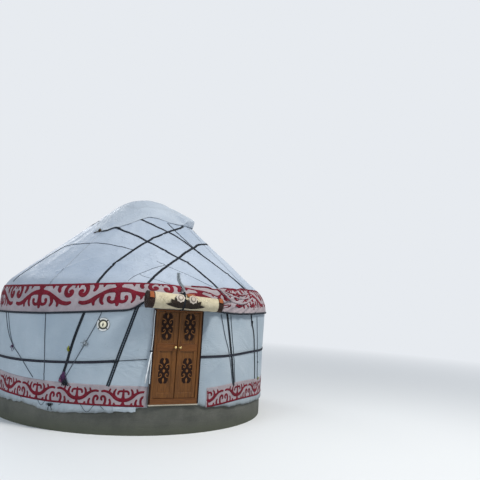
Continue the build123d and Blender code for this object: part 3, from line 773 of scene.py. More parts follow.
def wall_strip(name, start, stop, first_cover, lapped):
    """One strip of the wall canvas between two azimuths, in place of four covers."""
    columns, rows = 330, 66
    spin, share = grid(np.linspace(start, stop, columns), np.linspace(0, 1, rows))
    hem = wall_along(round_values(spin, hem_places, hem_heights, 2.0))
    ragged = 0.013 * smooth_noise(spin / 2.4, 0 * spin, 5) + 0.009 * smooth_noise(spin / 0.9, 0 * spin, 6)
    hem = hem + ragged
    climb = hem + (-0.005 - hem) * share ** 0.9
    rise = wall_drop + wall_rise(spin, climb) + lapped * (1 - ease(spin, start + 3, start + 6))
    piece = cloth_piece(name, skin(spin, climb, rise), np.radians(spin) * wall_radius, climb,
                        wall_canvas_finish)
    above_belt = climb - wall_along(belt_height(spin))
    by_door = bell(np.abs(near(spin, 0)) - door_side_azimuth - 1, 3)
    creased = 0.12 + 0.3 * bell(above_belt, 0.16) + 0.25 * by_door
    grime = (0.55 * bell(climb - hem, 0.05) + 0.28 * bell(climb - hem, 0.2)
             + 0.15 * bell(above_belt - 0.03, 0.03) + 0.3 * lapped / lap_rise * bell(spin - start, 0.3))
    settle_canvas(piece, creased, grime, *(f"wall_cover_{first_cover + k}" for k in range(4)))


wall_strip("wall_canvas_right", door_side_azimuth, 184.0, 1, 0.0)
wall_strip("wall_canvas_left", 179.0, 360 - door_side_azimuth, 5, lap_rise)
print("wall canvas hung")

# %% Hang the loose end of the hem
spin, share = grid(np.linspace(-20.5, -12.9, 40), np.linspace(0, 1, 16))
fallen = -0.045 - share * (0.075 + 0.008 * smooth_noise(spin / 1.1, 0 * spin, 9))
hanging = wall_drop + wall_rise(spin, wall_along(fallen)) + 0.007
hanging = hanging + 0.006 * share * smooth_noise(spin / 2.2, share * 2, 8)
hem_flap = cloth_piece("hem_flap", skin(spin, wall_along(fallen), hanging), np.radians(spin) * wall_radius,
                       fallen, wall_canvas_finish)
settle_canvas(hem_flap, 0.6, 0.5 * share)
print("loose hem hung")

# %% [markdown]
# ## The ornamented bands
# Two bands run round the yurt: a wide one over the eaves and a narrow one at the foot of the
# wall. Their cloth comes first; the ornament is cut out flat and laid on them afterwards. Right
# of the curtain the eaves band is bunched, so its folds fan out from there.

# %% Say where the bands run
eaves_places = [-120, -83, -66, -50, -38, -30, -24, -18.5, -16.5, -15, -13.4, -12, -9, -4, 0, 9, 16, 24, 32,
                47, 68, 110, 160, 200]
eaves_tops = [0.215, 0.224, 0.24, 0.27, 0.315, 0.352, 0.378, 0.408, 0.414, 0.416, 0.418, 0.419, 0.42, 0.42,
              0.42, 0.42, 0.39, 0.40, 0.43, 0.475, 0.49, 0.46, 0.36, 0.26]
full_width = 0.487
eaves_widths = [full_width] * 7 + [0.490, 0.470, 0.420, 0.355, 0.315, 0.290, 0.36, 0.43, 0.42, 0.42, 0.455,
                                   0.475, 0.5, 0.5, 0.49, full_width, full_width]
foot_places = [-120, -74, -58, -44, -29, -12, 12.8, 19, 24, 31, 39, 49, 90, 180]
foot_tops = [0.29, 0.3, 0.282, 0.278, 0.286, 0.292, 0.243, 0.265, 0.289, 0.306, 0.304, 0.275, 0.28, 0.285]
foot_width = 0.33
eaves_lift = 0.0082
foot_lift = 0.0035
band_thickness = 0.0025


def eaves_top(azimuth):
    """Distance up the skin of the eaves band's upper edge."""
    return round_values(azimuth, eaves_places, eaves_tops, 3.0)


def eaves_width(azimuth):
    """Width of the eaves band."""
    return round_values(azimuth, eaves_places, eaves_widths, 1.8)


def eaves_rise(azimuth, below_top):
    """Rise of the eaves band above the skin, where below_top is the distance from its top edge."""
    azimuth = near(azimuth, 0)
    reach = np.radians(azimuth) * skin_radius
    bunched = ease(azimuth, 5, 14) * (1 - ease(azimuth, 30, 46))
    slow = smooth_noise(np.mod(azimuth, 360) / 6, below_top * 3, 31, 60) * 0.003
    fan = 1 - np.abs(smooth_noise(below_top * 15 + reach * 5.0, reach * 1.2, 32)) * 2
    fan = fan + 0.5 * smooth_noise(below_top * 30 + reach * 8, reach * 2.6, 33)
    hang = 0.01 * ease(below_top, 0.3, 0.5)
    return eaves_lift + slow + bunched * np.maximum(0.001, 0.016 + 0.025 * fan) + hang


def on_eaves(azimuth, below_top, lift=0.0):
    """Points of the eaves band."""
    return skin(azimuth, eaves_top(azimuth) - below_top, eaves_rise(azimuth, below_top) + lift)


def on_foot(azimuth, below_top, lift=0.0):
    """Points of the foot band, which rises over the lap of the canvas at the back."""
    along = wall_along(round_values(azimuth, foot_places, foot_tops, 3.0)) - below_top
    turn = np.mod(azimuth, 360)
    wave = smooth_noise(turn / 5, below_top * 4, 41, 72) * 0.0015
    lap = 0.0055 * ease(turn, 178.3, 178.9) * (1 - ease(turn, 182.4, 185.4))
    return skin(azimuth, along, wall_drop + wall_rise(azimuth, along) + foot_lift + wave + lap + lift)


print("eaves band", round(float(eaves_width(0.0)), 2), "m wide over the door")

# %% Lay the band cloth
columns, rows = 720, 32
spin, share = grid(np.arange(columns) * 360 / columns, np.linspace(1, 0, rows))
below = share * eaves_width(spin)
eaves_cloth = cloth_piece("eaves_band", on_eaves(spin, below), np.radians(spin) * skin_radius, below,
                          band_cloth_finish, closed=True)
thicken(eaves_cloth, band_thickness)
settle(eaves_cloth, "ornament_cloth", "upper_band")

columns, rows = 360, 16
for hand, start, stop in (("right", 12.8, 180.4), ("left", 180.4, 350.6)):
    spin, below = grid(np.linspace(start, stop, columns), np.linspace(foot_width, 0, rows))
    strip = cloth_piece(f"foot_band_{hand}", on_foot(spin, below), np.radians(spin) * skin_radius, below,
                        band_cloth_finish)
    thicken(strip, band_thickness)
    settle(strip, "ornament_cloth", f"lower_band_{hand}")
print("three bands laid")

# %% [markdown]
# ## Drawing the ornament
# The ornament is a ram's-horn scroll. It could be a picture on the cloth, but cut cloth has real
# edges. Every stroke is a few given points with a width at each, and `stroke` turns it into
# an outline with round ends.

# %% Draw with strokes
def smooth_path(points, step):
    """Points at even steps on a soft curve through the given ones."""
    points = np.asarray(points, float)
    padded = np.vstack([2 * points[0] - points[1], points, 2 * points[-1] - points[-2]])
    found = []
    for k in range(1, len(padded) - 2):
        a, b, c, d = padded[k - 1:k + 3]
        length = np.linalg.norm((c - b)[:3])
        count = max(1, int(ceil(length / step)))
        for t in np.arange(count) / count:
            found.append(0.5 * (2 * b + (c - a) * t + (2 * a - 5 * b + 4 * c - d) * t ** 2
                                + (3 * b - a - 3 * c + d) * t ** 3))
    found.append(points[-1])
    return np.array(found)


def stroke(points, step=0.012, spread=0.0, flat_start=False):
    """Outline of a brush stroke; each point is (x, y, width) and spread adds to the width."""
    path = smooth_path(points, step)
    centre, half = path[:, :2], (path[:, 2:3] + spread) / 2
    ahead_of = np.gradient(centre, axis=0)
    ahead_of /= np.linalg.norm(ahead_of, axis=1)[:, None]
    side = np.stack([-ahead_of[:, 1], ahead_of[:, 0]], 1)
    left, right = centre + side * half, centre - side * half
    cap = np.radians([60, 30, 0, -30, -60])
    outline = list(left)
    for t in cap:
        outline.append(centre[-1] + half[-1] * (side[-1] * sin(t) + ahead_of[-1] * cos(t)))
    outline += list(right[::-1])
    if not flat_start:
        for t in cap[::-1]:
            outline.append(centre[0] + half[0] * (side[0] * sin(t) - ahead_of[0] * cos(t)))
    return np.array(outline)


def both_sides(strokes):
    """The strokes and their mirror images."""
    return strokes + [[(-x, y, w) for x, y, w in one] for one in strokes]


def stripe(length, low, high):
    """Outline of a straight stripe, with points along it so that it can bend."""
    count = int(length / 0.04)
    x = np.linspace(-length / 2, length / 2, count + 1)
    return np.vstack([np.column_stack([x, np.full(len(x), low)]),
                      np.column_stack([x[::-1], np.full(len(x), high)])])


print("a dot has an outline of", len(stroke([(0, 0, 1), (0.01, 0, 1)])), "points")

# %% [markdown]
# ## Cutting out
# The outlines overlap where strokes join. `delaunay_2d_cdt` splits everything into triangles and
# says which outlines cover each one, so only covered triangles are kept, and a regular grid of
# points inside lets the flat cut bend later.

# %% Join the outlines
def turns_left(ring):
    """Whether an outline runs anticlockwise, as the triangulation needs."""
    x, y = ring[:, 0], ring[:, 1]
    return np.sum(x * np.roll(y, -1) - np.roll(x, -1) * y) > 0


def cut_out(outlines, spacing):
    """One flat mesh of everything inside the outlines."""
    rings = [np.asarray(ring, float) for ring in outlines]
    rings = [ring if turns_left(ring) else ring[::-1] for ring in rings]
    corners = np.vstack(rings)
    low, high = corners.min(0), corners.max(0)
    mesh_x = np.arange(low[0] + spacing / 2, high[0], spacing)
    mesh_y = np.arange(low[1] + spacing / 2, high[1], spacing)
    inner = np.stack(np.meshgrid(mesh_x, mesh_y), -1).reshape(-1, 2)
    faces, at = [], 0
    for ring in rings:
        faces.append(list(range(at, at + len(ring))))
        at += len(ring)
    given = [Vector(p) for p in np.vstack([corners, inner])]
    places, _, triangles, _, _, owners = delaunay_2d_cdt(given, [], faces, 0, 1e-5)
    kept = [t for t, own in zip(triangles, owners) if own]
    used = sorted({v for t in kept for v in t})
    number = {v: k for k, v in enumerate(used)}
    flat = np.array([places[v] for v in used])
    turned = []
    for t in kept:
        a, b, c = (flat[number[v]] for v in t)
        turn_of = (b[0] - a[0]) * (c[1] - a[1]) - (b[1] - a[1]) * (c[0] - a[0])
        turned.append([number[v] for v in (t if turn_of > 0 else t[::-1])])
    return flat, turned


print("cutting tools ready")

# %% [markdown]
# ## Repeating the ornament
# The same motif returns twelve times round the eaves and more often at the foot, so Geometry
# Nodes repeats it in the flat, along a line, and Python then wraps the whole strip onto the
# cloth. The tree ends in Realize Instances and Set Material, which makes it a plain mesh.

# %% Repeat in the flat
def repeat_tree():
    """A node tree that repeats a flat mesh along X."""
    tree = bpy.data.node_groups.new("repeat_along_line", "GeometryNodeTree")
    face = tree.interface
    face.new_socket("Geometry", in_out="INPUT", socket_type="NodeSocketGeometry")
    sockets = {name: face.new_socket(name, in_out="INPUT", socket_type=kind).identifier
               for name, kind in (("Count", "NodeSocketInt"), ("Pitch", "NodeSocketFloat"),
                                  ("Finish", "NodeSocketMaterial"))}
    face.new_socket("Geometry", in_out="OUTPUT", socket_type="NodeSocketGeometry")
    given = add(tree, "NodeGroupInput")
    step = add(tree, "ShaderNodeCombineXYZ", {"X": given.outputs["Pitch"]})
    line = add(tree, "GeometryNodeMeshLine", {"Count": given.outputs["Count"], "Offset": step.outputs[0]})
    copies = add(tree, "GeometryNodeInstanceOnPoints",
                 {"Points": line.outputs[0], "Instance": given.outputs["Geometry"]})
    real = add(tree, "GeometryNodeRealizeInstances", {0: copies.outputs[0]})
    dressed = add(tree, "GeometryNodeSetMaterial", {0: real.outputs[0], "Material": given.outputs["Finish"]})
    add(tree, "NodeGroupOutput", {0: dressed.outputs[0]})
    return tree, sockets


repeat_group, repeat_sockets = repeat_tree()


def repeated(name, flat, faces, count, pitch, finish):
    """A flat strip of copies of a motif."""
    motif = new_piece(name, np.column_stack([flat, np.zeros(len(flat))]), faces, finish)
    modifier = motif.modifiers.new("repeat", "NODES")
    modifier.node_group = repeat_group
    modifier[repeat_sockets["Count"]] = count
    modifier[repeat_sockets["Pitch"]] = pitch
    modifier[repeat_sockets["Finish"]] = finish
    return apply_all(motif)


def flat_points(piece):
    """The points of a mesh as an array."""
    places = np.empty(len(piece.data.vertices) * 3)
    piece.data.vertices.foreach_get("co", places)
    return places.reshape(-1, 3)


def wrap(strip, place, thickness=0.0016):
    """Move a flat strip onto a surface; place turns (x, y) into points."""
    flat = flat_points(strip)
    strip.data.vertices.foreach_set("co", place(flat[:, 0], flat[:, 1]).ravel())
    layer = strip.data.uv_layers.new(name="cloth")
    corners = np.empty(len(strip.data.loops), dtype=int)
    strip.data.loops.foreach_get("vertex_index", corners)
    layer.data.foreach_set("uv", flat[corners, :2].ravel())
    strip.data.update()
    return thicken(strip, thickness)


print("repeat tree has", len(repeat_group.nodes), "nodes")

# %% [markdown]
# ## The eaves ornament
# x runs from the crest of the wave and y upwards from the band's top edge, so y is negative. A
# crest carries an anchor under it; between the crests, two horns hang from the stripe. Rooted
# strokes start flat inside the stripe, so they don't bulge over the edge of the cloth.

# %% Cut the eaves ornament
eaves_count = 12
eaves_radius = 2.757
eaves_pitch = 2 * pi * eaves_radius / eaves_count
eaves_first = -52.2
eaves_root = -0.022
eaves_ink = 0.009
print_lift = 0.0017
gap_x = eaves_pitch / 2
eaves_free = both_sides([
    [(0.0, -0.150, 0.080), (0.08, -0.150, 0.078), (0.15, -0.160, 0.064), (0.20, -0.178, 0.060),
     (0.26, -0.210, 0.060), (0.32, -0.243, 0.060), (0.38, -0.280, 0.062), (0.45, -0.323, 0.062),
     (0.52, -0.345, 0.060), (0.58, -0.350, 0.056), (gap_x - 0.09, -0.338, 0.046)],
    [(0.245, -0.215, 0.055), (0.262, -0.260, 0.060), (0.270, -0.305, 0.056), (0.262, -0.345, 0.046),
     (0.24, -0.374, 0.034)],
    [(0.365, -0.285, 0.055), (0.388, -0.315, 0.052), (0.397, -0.345, 0.048), (0.391, -0.380, 0.038)],
    [(0.0, -0.330, 0.050), (0.040, -0.345, 0.048), (0.085, -0.355, 0.046), (0.125, -0.342, 0.046),
     (0.147, -0.310, 0.048), (0.142, -0.280, 0.056)],
]) + [
    [(0.0, -0.150, 0.110), (0.0, -0.200, 0.080), (0.0, -0.250, 0.076), (0.0, -0.300, 0.090),
     (0.0, -0.335, 0.096), (0.0, -0.362, 0.060), (0.0, -0.395, 0.050)],
]
eaves_rooted = both_sides([
    [(gap_x - 0.148, eaves_root, 0.080), (gap_x - 0.183, -0.075, 0.062), (gap_x - 0.196, -0.125, 0.060),
     (gap_x - 0.186, -0.178, 0.064), (gap_x - 0.150, -0.214, 0.068), (gap_x - 0.108, -0.212, 0.068),
     (gap_x - 0.076, -0.184, 0.060), (gap_x - 0.074, -0.150, 0.050), (gap_x - 0.100, -0.136, 0.042),
     (gap_x - 0.117, -0.15, 0.034)],
    [(gap_x - 0.040, eaves_root, 0.045), (gap_x - 0.030, -0.045, 0.032), (gap_x - 0.034, -0.074, 0.022)],
    [(gap_x - 0.315, eaves_root, 0.080), (gap_x - 0.335, -0.060, 0.066), (gap_x - 0.336, -0.105, 0.062),
     (gap_x - 0.318, -0.142, 0.048)],
    [(0.250, eaves_root, 0.090), (0.252, -0.045, 0.050), (0.256, -0.078, 0.018)],
]) + [
    [(0.0, eaves_root, 0.170), (0.0, -0.050, 0.130), (0.0, -0.080, 0.085), (0.0, -0.105, 0.105),
     (0.0, -0.135, 0.16)],
]
outlines = [stroke(s, spread=eaves_ink) for s in eaves_free]
outlines += [stroke(s, spread=eaves_ink, flat_start=True) for s in eaves_rooted]
flat, faces = cut_out(outlines + [stripe(eaves_pitch, -0.04, -0.001)], 0.035)
strip = repeated("eaves_ornament", flat, faces, eaves_count, eaves_pitch, crimson_finish)
print("eaves motif cut in", len(faces), "triangles")


# %% Lay the eaves ornament
def eaves_place(x, y):
    """Lay the eaves ornament: x is the way round, y the way down."""
    azimuth = eaves_first + np.degrees(x / eaves_radius)
    pulled = np.interp(near(azimuth, 0), [-2, 0, 6, 12, 15, 22], [0, 0.02, 0.07, 0.12, 0.17, 0])
    width = eaves_width(azimuth)
    return on_eaves(azimuth, pulled - y / full_width * (width - pulled), print_lift)


eaves_ornament = wrap(strip, eaves_place)
settle(eaves_ornament, "ornament_cloth")
print("eaves ornament", len(eaves_ornament.data.polygons), "faces")

# %% [markdown]
# ## The foot ornament
# The foot band has a smaller cut of the same scroll, turned over: a bowl holds a stem with two
# horns, and the stripe runs along its lower edge.

# %% Cut the foot ornament
foot_turn = 15.8
foot_pitch = radians(foot_turn) * skin_radius
foot_root = -0.314
foot_ink = 0.007
gap_x = foot_pitch / 2
foot_free = both_sides([
    [(0.0, -0.226, 0.052), (0.050, -0.226, 0.050), (0.100, -0.208, 0.048), (0.140, -0.180, 0.050),
     (0.180, -0.146, 0.042), (0.220, -0.118, 0.034), (0.265, -0.100, 0.030), (0.310, -0.091, 0.030),
     (gap_x - 0.034, -0.097, 0.027)],
    [(0.0, -0.090, 0.024), (0.032, -0.086, 0.026), (0.060, -0.088, 0.028), (0.080, -0.104, 0.028),
     (0.084, -0.13, 0.026)],
    [(0.148, -0.170, 0.046), (0.150, -0.130, 0.036), (0.142, -0.090, 0.027), (0.124, -0.060, 0.018)],
    [(0.226, -0.112, 0.032), (0.224, -0.088, 0.026), (0.213, -0.060, 0.018)],
]) + [
    [(0.0, -0.058, 0.018), (0.0, -0.085, 0.024), (0.0, -0.130, 0.032), (0.0, -0.175, 0.038),
     (0.0, -0.215, 0.07)],
]
foot_rooted = both_sides([
    [(gap_x - 0.082, foot_root, 0.036), (gap_x - 0.096, -0.258, 0.032), (gap_x - 0.094, -0.215, 0.031),
     (gap_x - 0.076, -0.182, 0.030), (gap_x - 0.052, -0.174, 0.030), (gap_x - 0.032, -0.190, 0.030),
     (gap_x - 0.029, -0.215, 0.028), (gap_x - 0.038, -0.234, 0.022)],
    [(gap_x - 0.172, foot_root, 0.040), (gap_x - 0.176, -0.262, 0.028), (gap_x - 0.163, -0.226, 0.024)],
    [(0.135, foot_root, 0.050), (0.140, -0.285, 0.026)],
]) + [
    [(0.0, foot_root, 0.100), (0.0, -0.285, 0.050), (0.0, -0.262, 0.036), (0.0, -0.240, 0.050)],
]
outlines = [stroke(s, 0.009, foot_ink) for s in foot_free]
outlines += [stroke(s, 0.009, foot_ink, True) for s in foot_rooted]
flat, faces = cut_out(outlines + [stripe(foot_pitch, -0.329, -0.3)], 0.03)
print("foot motif cut in", len(faces), "triangles")


# %% Lay the foot ornament
def trimmed(piece, low, high):
    """A flat strip without the faces that reach past its cloth."""
    places = flat_points(piece)
    inside = (places[:, 0] > low) & (places[:, 0] < high)
    kept = [tuple(p.vertices) for p in piece.data.polygons if all(inside[v] for v in p.vertices)]
    used = sorted({v for f in kept for v in f})
    number = {v: k for k, v in enumerate(used)}
    name, finish = piece.name, piece.data.materials[0]
    bpy.data.objects.remove(piece)
    return new_piece(name, places[used], [tuple(number[v] for v in f) for f in kept], finish)


for hand, first, count, start, stop in (("left", -17.4 - 11 * foot_turn, 12, -179.3, -10.3),
                                        ("right", 13.4, 11, 13.1, 179.7)):
    strip = repeated(f"foot_ornament_{hand}", flat, faces, count, foot_pitch, crimson_finish)
    strip = trimmed(strip, radians(start - first) * skin_radius, radians(stop - first) * skin_radius)
    piece = wrap(strip, lambda x, y: on_foot(first + np.degrees(x / skin_radius), -y, print_lift), 0.0014)
    settle(piece, "ornament_cloth")
    print(hand, "foot ornament", len(piece.data.polygons), "faces")

# %% [markdown]
# ## The crown cover
# A square sheet is thrown over the crown and tied at its corners. Its left corner is pulled far
# down the roof. Its right side is pushed up from below, so there the sheet stands off the slope
# like the lid of a box, with an upright side. `cover_edges` says how far out the edge lies, and
# `lid_heights` how high the lid stands.

# %% Shape the crown cover
cover_side = 1.96
cover_turn = radians(-11)
cover_lift = 0.0085
cover_azimuths = [-95, -80, -66, -60, -56, -52, -46, -40, -30, -21, -12, 0, 7, 12, 20, 34, 48, 60, 75, 90,
                  100, 110]
cover_edges = [1.02, 1.05, 1.21, 1.33, 1.457, 1.45, 1.42, 1.32, 1.20, 1.058, 0.965, 0.975, 1.02, 1.065,
               1.08, 1.075, 1.06, 1.04, 1.03, 1.03, 1.04, 1.12]
lid_azimuths = [22, 31, 35, 45, 55, 65, 76, 90, 105]
lid_heights = [0, 0.04, 0.14, 0.18, 0.195, 0.195, 0.17, 0.08, 0]


def plan_place(across, back):
    """Plan x and y of a point of the square sheet."""
    return (across * cos(cover_turn) - back * sin(cover_turn),
            across * sin(cover_turn) + back * cos(cover_turn))


def on_crown(across, back):
    """Points of the crown cover, from a place on the square sheet."""
    x, y = plan_place(across, back)
    radius = np.hypot(x, y)
    azimuth = np.degrees(np.arctan2(x, -y))
    turn = near(azimuth, 0)
    reach = np.maximum(np.abs(across), np.abs(back)) / (cover_side / 2)
    square = radius / np.maximum(reach, 1e-6)
    known = ease(turn, -95, -80) * (1 - ease(turn, 100, 112))
    edge = square + (np.interp(turn, cover_azimuths, cover_edges) - square) * known
    lid = np.interp(turn, lid_azimuths, lid_heights)
    hinge = 1 - 0.6 * lid
    hung = np.clip((reach - hinge) / np.maximum(1 - hinge, 1e-6), 0, 1)
    stretched = edge * np.minimum(1, reach / hinge)
    leaning = 0.22 * lid * ease(reach, 0.6, 0.95) * (1 - hung)
    placed = radius + (stretched - radius) * ease(reach, 0.45, 0.8) + leaning
    foot = 0.7 - 0.24 * ease(turn, 38, 68)
    standing = lid * np.clip((placed - foot) / (1.06 - foot), 0, 1)
    ridges = (1 - np.abs(smooth_noise(x * 4 + 2, y * 4, 52))) ** 3 * 0.008
    waves = smooth_noise(x * 6, y * 6, 51) * 0.005 + ridges
    flutter = ease(reach, 0.88, 1.0) * (0.003 + 0.004 * smooth_noise(azimuth / 7, radius, 53)) * (1 - hung)
    points = skin(azimuth, along_at(placed), cover_lift + np.abs(waves) * (1 - hung) + flutter)
    points[..., 2] += standing * (1 - hung)
    return points


corner = on_crown(-cover_side / 2, -cover_side / 2)
print("front corner of the cover at", np.round(corner, 2))

# %% Throw the crown cover
steps = 116
line = np.linspace(-0.5, 0.5, steps) * cover_side
across, back = grid(line, line)
crown_cloth = cloth_piece("crown_cover_cloth", on_crown(across, back), across, back, crown_canvas_finish)
reach = np.maximum(np.abs(across), np.abs(back))
plan_x, plan_y = plan_place(across, back)
left_corner_turn = radians(-52)
left_corner_radius = 1.386
from_left = np.hypot(plan_x - left_corner_radius * sin(left_corner_turn),
                     plan_y + left_corner_radius * cos(left_corner_turn))
grime = (0.25 * bell(reach - 0.975, 0.012) + 0.15 * bell(np.hypot(plan_x, plan_y) - 0.66, 0.03)
         + 0.8 * bell(from_left, 0.16) * bell(reach - 0.98, 0.03))
settle_canvas(crown_cloth, 0.6, grime, "crown_cover")
print("crown cover", steps * steps, "points")

# %% [markdown]
# ## Sweeping straps, ropes and wool
# Straps are flat tape and ropes are round, and both follow the cloth. `bundle` sweeps one section
# along any number of paths and joins the results in one mesh, with the length in its UV map, so a
# tassel is one piece too.

# %% Sweep sections along paths
def bundle(name, paths, section, finish, smooth=True):
    """One mesh of a section swept along several (points, outward) paths."""
    places, faces, pairs, at = [], [], [], 0
    sides = len(section)
    for points, outward in paths:
        ahead_of = np.gradient(points, axis=0)
        ahead_of /= np.linalg.norm(ahead_of, axis=1)[:, None]
        side = np.cross(outward, ahead_of)
        side /= np.linalg.norm(side, axis=1)[:, None]
        top = np.cross(ahead_of, side)
        length = np.concatenate([[0], np.cumsum(np.linalg.norm(np.diff(points, axis=0), axis=1))])
        places.append(np.stack([points + side * a + top * b for a, b in section], 1).reshape(-1, 3))
        sideways = np.tile([a for a, b in section], len(points))
        pairs.append(np.column_stack([np.repeat(length, sides), sideways]))
        count = len(points)
        faces += sleeve_faces(count, sides, at)
        faces.append(tuple(at + s for s in range(sides))[::-1])
        faces.append(tuple(at + (count - 1) * sides + s for s in range(sides)))
        at += count * sides
    return new_piece(name, np.vstack(places), faces, finish, np.vstack(pairs), smooth)


def tape(name, paths, width, thickness, finish):
    """Flat tape along paths, with its outer face on the outward side."""
    half = width / 2
    section = [(-half, 0.0), (half, 0.0), (half, thickness), (-half, thickness)]
    return bundle(name, paths, section, finish, smooth=False)


def tube(name, paths, radius, finish, sides=8):
    """Round cord along paths."""
    turns = np.linspace(0, 2 * pi, sides, endpoint=False)
    return bundle(name, paths, [(radius * cos(a), radius * sin(a)) for a in turns], finish)


def facing(points, outward):
    """A path whose outward direction is the same at every point."""
    return points, np.tile(outward, (len(points), 1))


print("sweeping tools ready")


# %% Follow the cloth
def on_cover(azimuth, along, lift):
    """Points on the outermost canvas."""
    return skin(azimuth, along, cover_rise(azimuth, along) + lift)


def cloth_path(places, step=0.03, lift=0.002):
    """A path over the cloth through (azimuth, along) places, and the outward direction on it."""
    path = smooth_path([(radians(a) * skin_radius, s) for a, s in places], step)
    azimuth, along = np.degrees(path[:, 0] / skin_radius), path[:, 1]
    return on_cover(azimuth, along, lift), outward_at(azimuth, along)


def patch_path(azimuth, along, places, step=0.008):
    """A path near one spot of the cloth through (right, up, lift) places, in metres."""
    path = smooth_path(places, step)
    turns = azimuth + np.degrees(path[:, 0] / skin_radius)
    return on_cover(turns, along + path[:, 1], path[:, 2]), outward_at(turns, along)


print("a path over the door has", len(cloth_path([(-10, 0), (10, 0)])[0]), "points")

# %% [markdown]
# ## Straps over the roof
# Four black straps cross over the roof in front and three of them come down the wall; a wider
# striped one takes over from the fourth at the eaves. Each is drawn through places where it
# visibly turns, (azimuth, radius) on the roof and (azimuth, height) on the wall. The back repeats
# the front.

# %% Lay the roof straps
strap_width = 0.046
strap_thickness = 0.003
half_turns = ((0, "front"), (180, "back"))
strap_routes = (
    ("a", strap_finish, strap_width,
     ((31, 1.08), (6.3, 1.313), (-3.1, 1.455), (-11.6, 1.602), (-21.0, 1.898), (-25.6, 2.129), (-28.4, 2.333),
      (-30.2, 2.58), (-31.3, 2.745)),
     ((-31.6, 1.60), (-33.4, 1.424), (-35.9, 1.055), (-37.2, 0.807), (-38.1, 0.609), (-38.9, 0.444),
      (-39.0, 0.36))),
    ("b", strap_finish, strap_width,
     ((106, 0.98), (84, 1.22), (60.4, 1.414), (33.5, 1.521), (21.7, 1.657), (11.8, 1.809), (4.3, 1.984),
      (-1.3, 2.135), (-6.9, 2.325), (-11.6, 2.56), (-12.6, 2.67)),
     ()),
    ("e", striped_strap_finish, 0.06, ((-14.2, 2.725),),
     ((-14.7, 1.62), (-15.4, 1.541), (-17.1, 1.257), (-19.7, 0.828), (-21.0, 0.6), (-22.9, 0.27))),
    ("c", strap_finish, strap_width,
     ((-38.2, 1.33), (-33.6, 1.378), (-26.1, 1.45), (-18.0, 1.543), (-4.9, 1.769), (5.5, 1.986), (9.8, 2.111),
      (12.6, 2.235), (17.0, 2.50), (18.6, 2.745)),
     ((18.9, 1.60), (20.3, 1.552), (22.0, 1.247), (23.8, 0.887), (24.9, 0.671), (26.7, 0.24))),
    ("d", strap_finish, strap_width,
     ((-22.0, 1.03), (-10.6, 1.135), (-1.4, 1.247), (5.8, 1.342), (13.3, 1.481), (18.7, 1.633), (26.3, 1.90),
      (33.1, 2.188), (36.0, 2.45), (36.5, 2.745)),
     ((36.6, 1.60), (37.7, 1.397), (40.5, 1.144), (42.6, 0.7), (43.9, 0.29))),
)
for half_turn, side_name in half_turns:
    for letter, finish, width, roof_places, wall_places in strap_routes:
        places = [(a + half_turn, float(along_at(r))) for a, r in roof_places]
        places += [(a + half_turn, wall_along(h)) for a, h in wall_places]
        piece = tape(f"strap_{letter}_{side_name}", [cloth_path(places)], width, strap_thickness, finish)
        stands_for = ["roof_straps"] if (letter, half_turn) == ("a", 0) else []
        settle(piece, "webbing", *stands_for)
print("straps laid", 2 * len(strap_routes))

# %% Strap down the cover's pulled corner
corner_strap_width = 0.04
corner_places = ((-49.5, 1.435), (-48.0, 1.431), (-45.9, 1.422), (-44.3, 1.388), (-42.6, 1.348),
                 (-40.4, 1.319), (-37.8, 1.330), (-35.5, 1.352))
for half_turn, side_name in half_turns:
    path = [cloth_path([(a + half_turn, float(along_at(r))) for a, r in corner_places], 0.015, 0.016)]
    piece = tape(f"strap_corner_{side_name}", path, corner_strap_width, strap_thickness, strap_finish)
    settle(piece, "webbing")
print("corner straps laid", len(half_turns))

# %% [markdown]
# ## Thin ropes and the belt
# Thin ropes hold the covers between the straps. One belt of tape goes round the wall, and a cord
# ties its end to the left jamb. A rope is sewn into the lower edge of the eaves band. Ropes at the
# sides and the back are like those in front. Right of the curtain the band has loose twists.

# %% Lay the ropes
wall_ropes = (
    (0.006, ((-26.8, 1.50), (-29.1, 1.224), (-32.0, 0.938), (-35.0, 0.653), (-38.4, 0.34))),
    (0.006, ((-74.7, 1.33), (-70.5, 1.015), (-65.9, 0.805), (-59.6, 0.612), (-51.5, 0.30))),
    (0.005, ((-72.3, 1.34), (-68.9, 1.015), (-65.3, 0.79))),
    (0.006, ((-48.8, 1.40), (-47.9, 0.9), (-46.4, 0.278))),
    (0.006, ((17.4, 1.52), (20.0, 1.15), (22.7, 0.853), (24.2, 0.6), (25.9, 0.27))),
    (0.006, ((22.3, 1.56), (24.2, 1.1), (25.4, 0.849), (26.3, 0.6), (27.3, 0.30))),
    (0.006, ((42.9, 1.50), (45.5, 0.9), (47.5, 0.285))),
    (0.006, ((78, 1.5), (82, 1.0), (85, 0.29))),
    (0.006, ((112, 1.5), (104, 0.9), (98, 0.29))),
    (0.006, ((131, 1.5), (131.5, 0.29))),
    (0.006, ((238, 1.4), (243, 0.9), (250, 0.29))),
    (0.006, ((268, 1.38), (268.6, 0.29))),
)
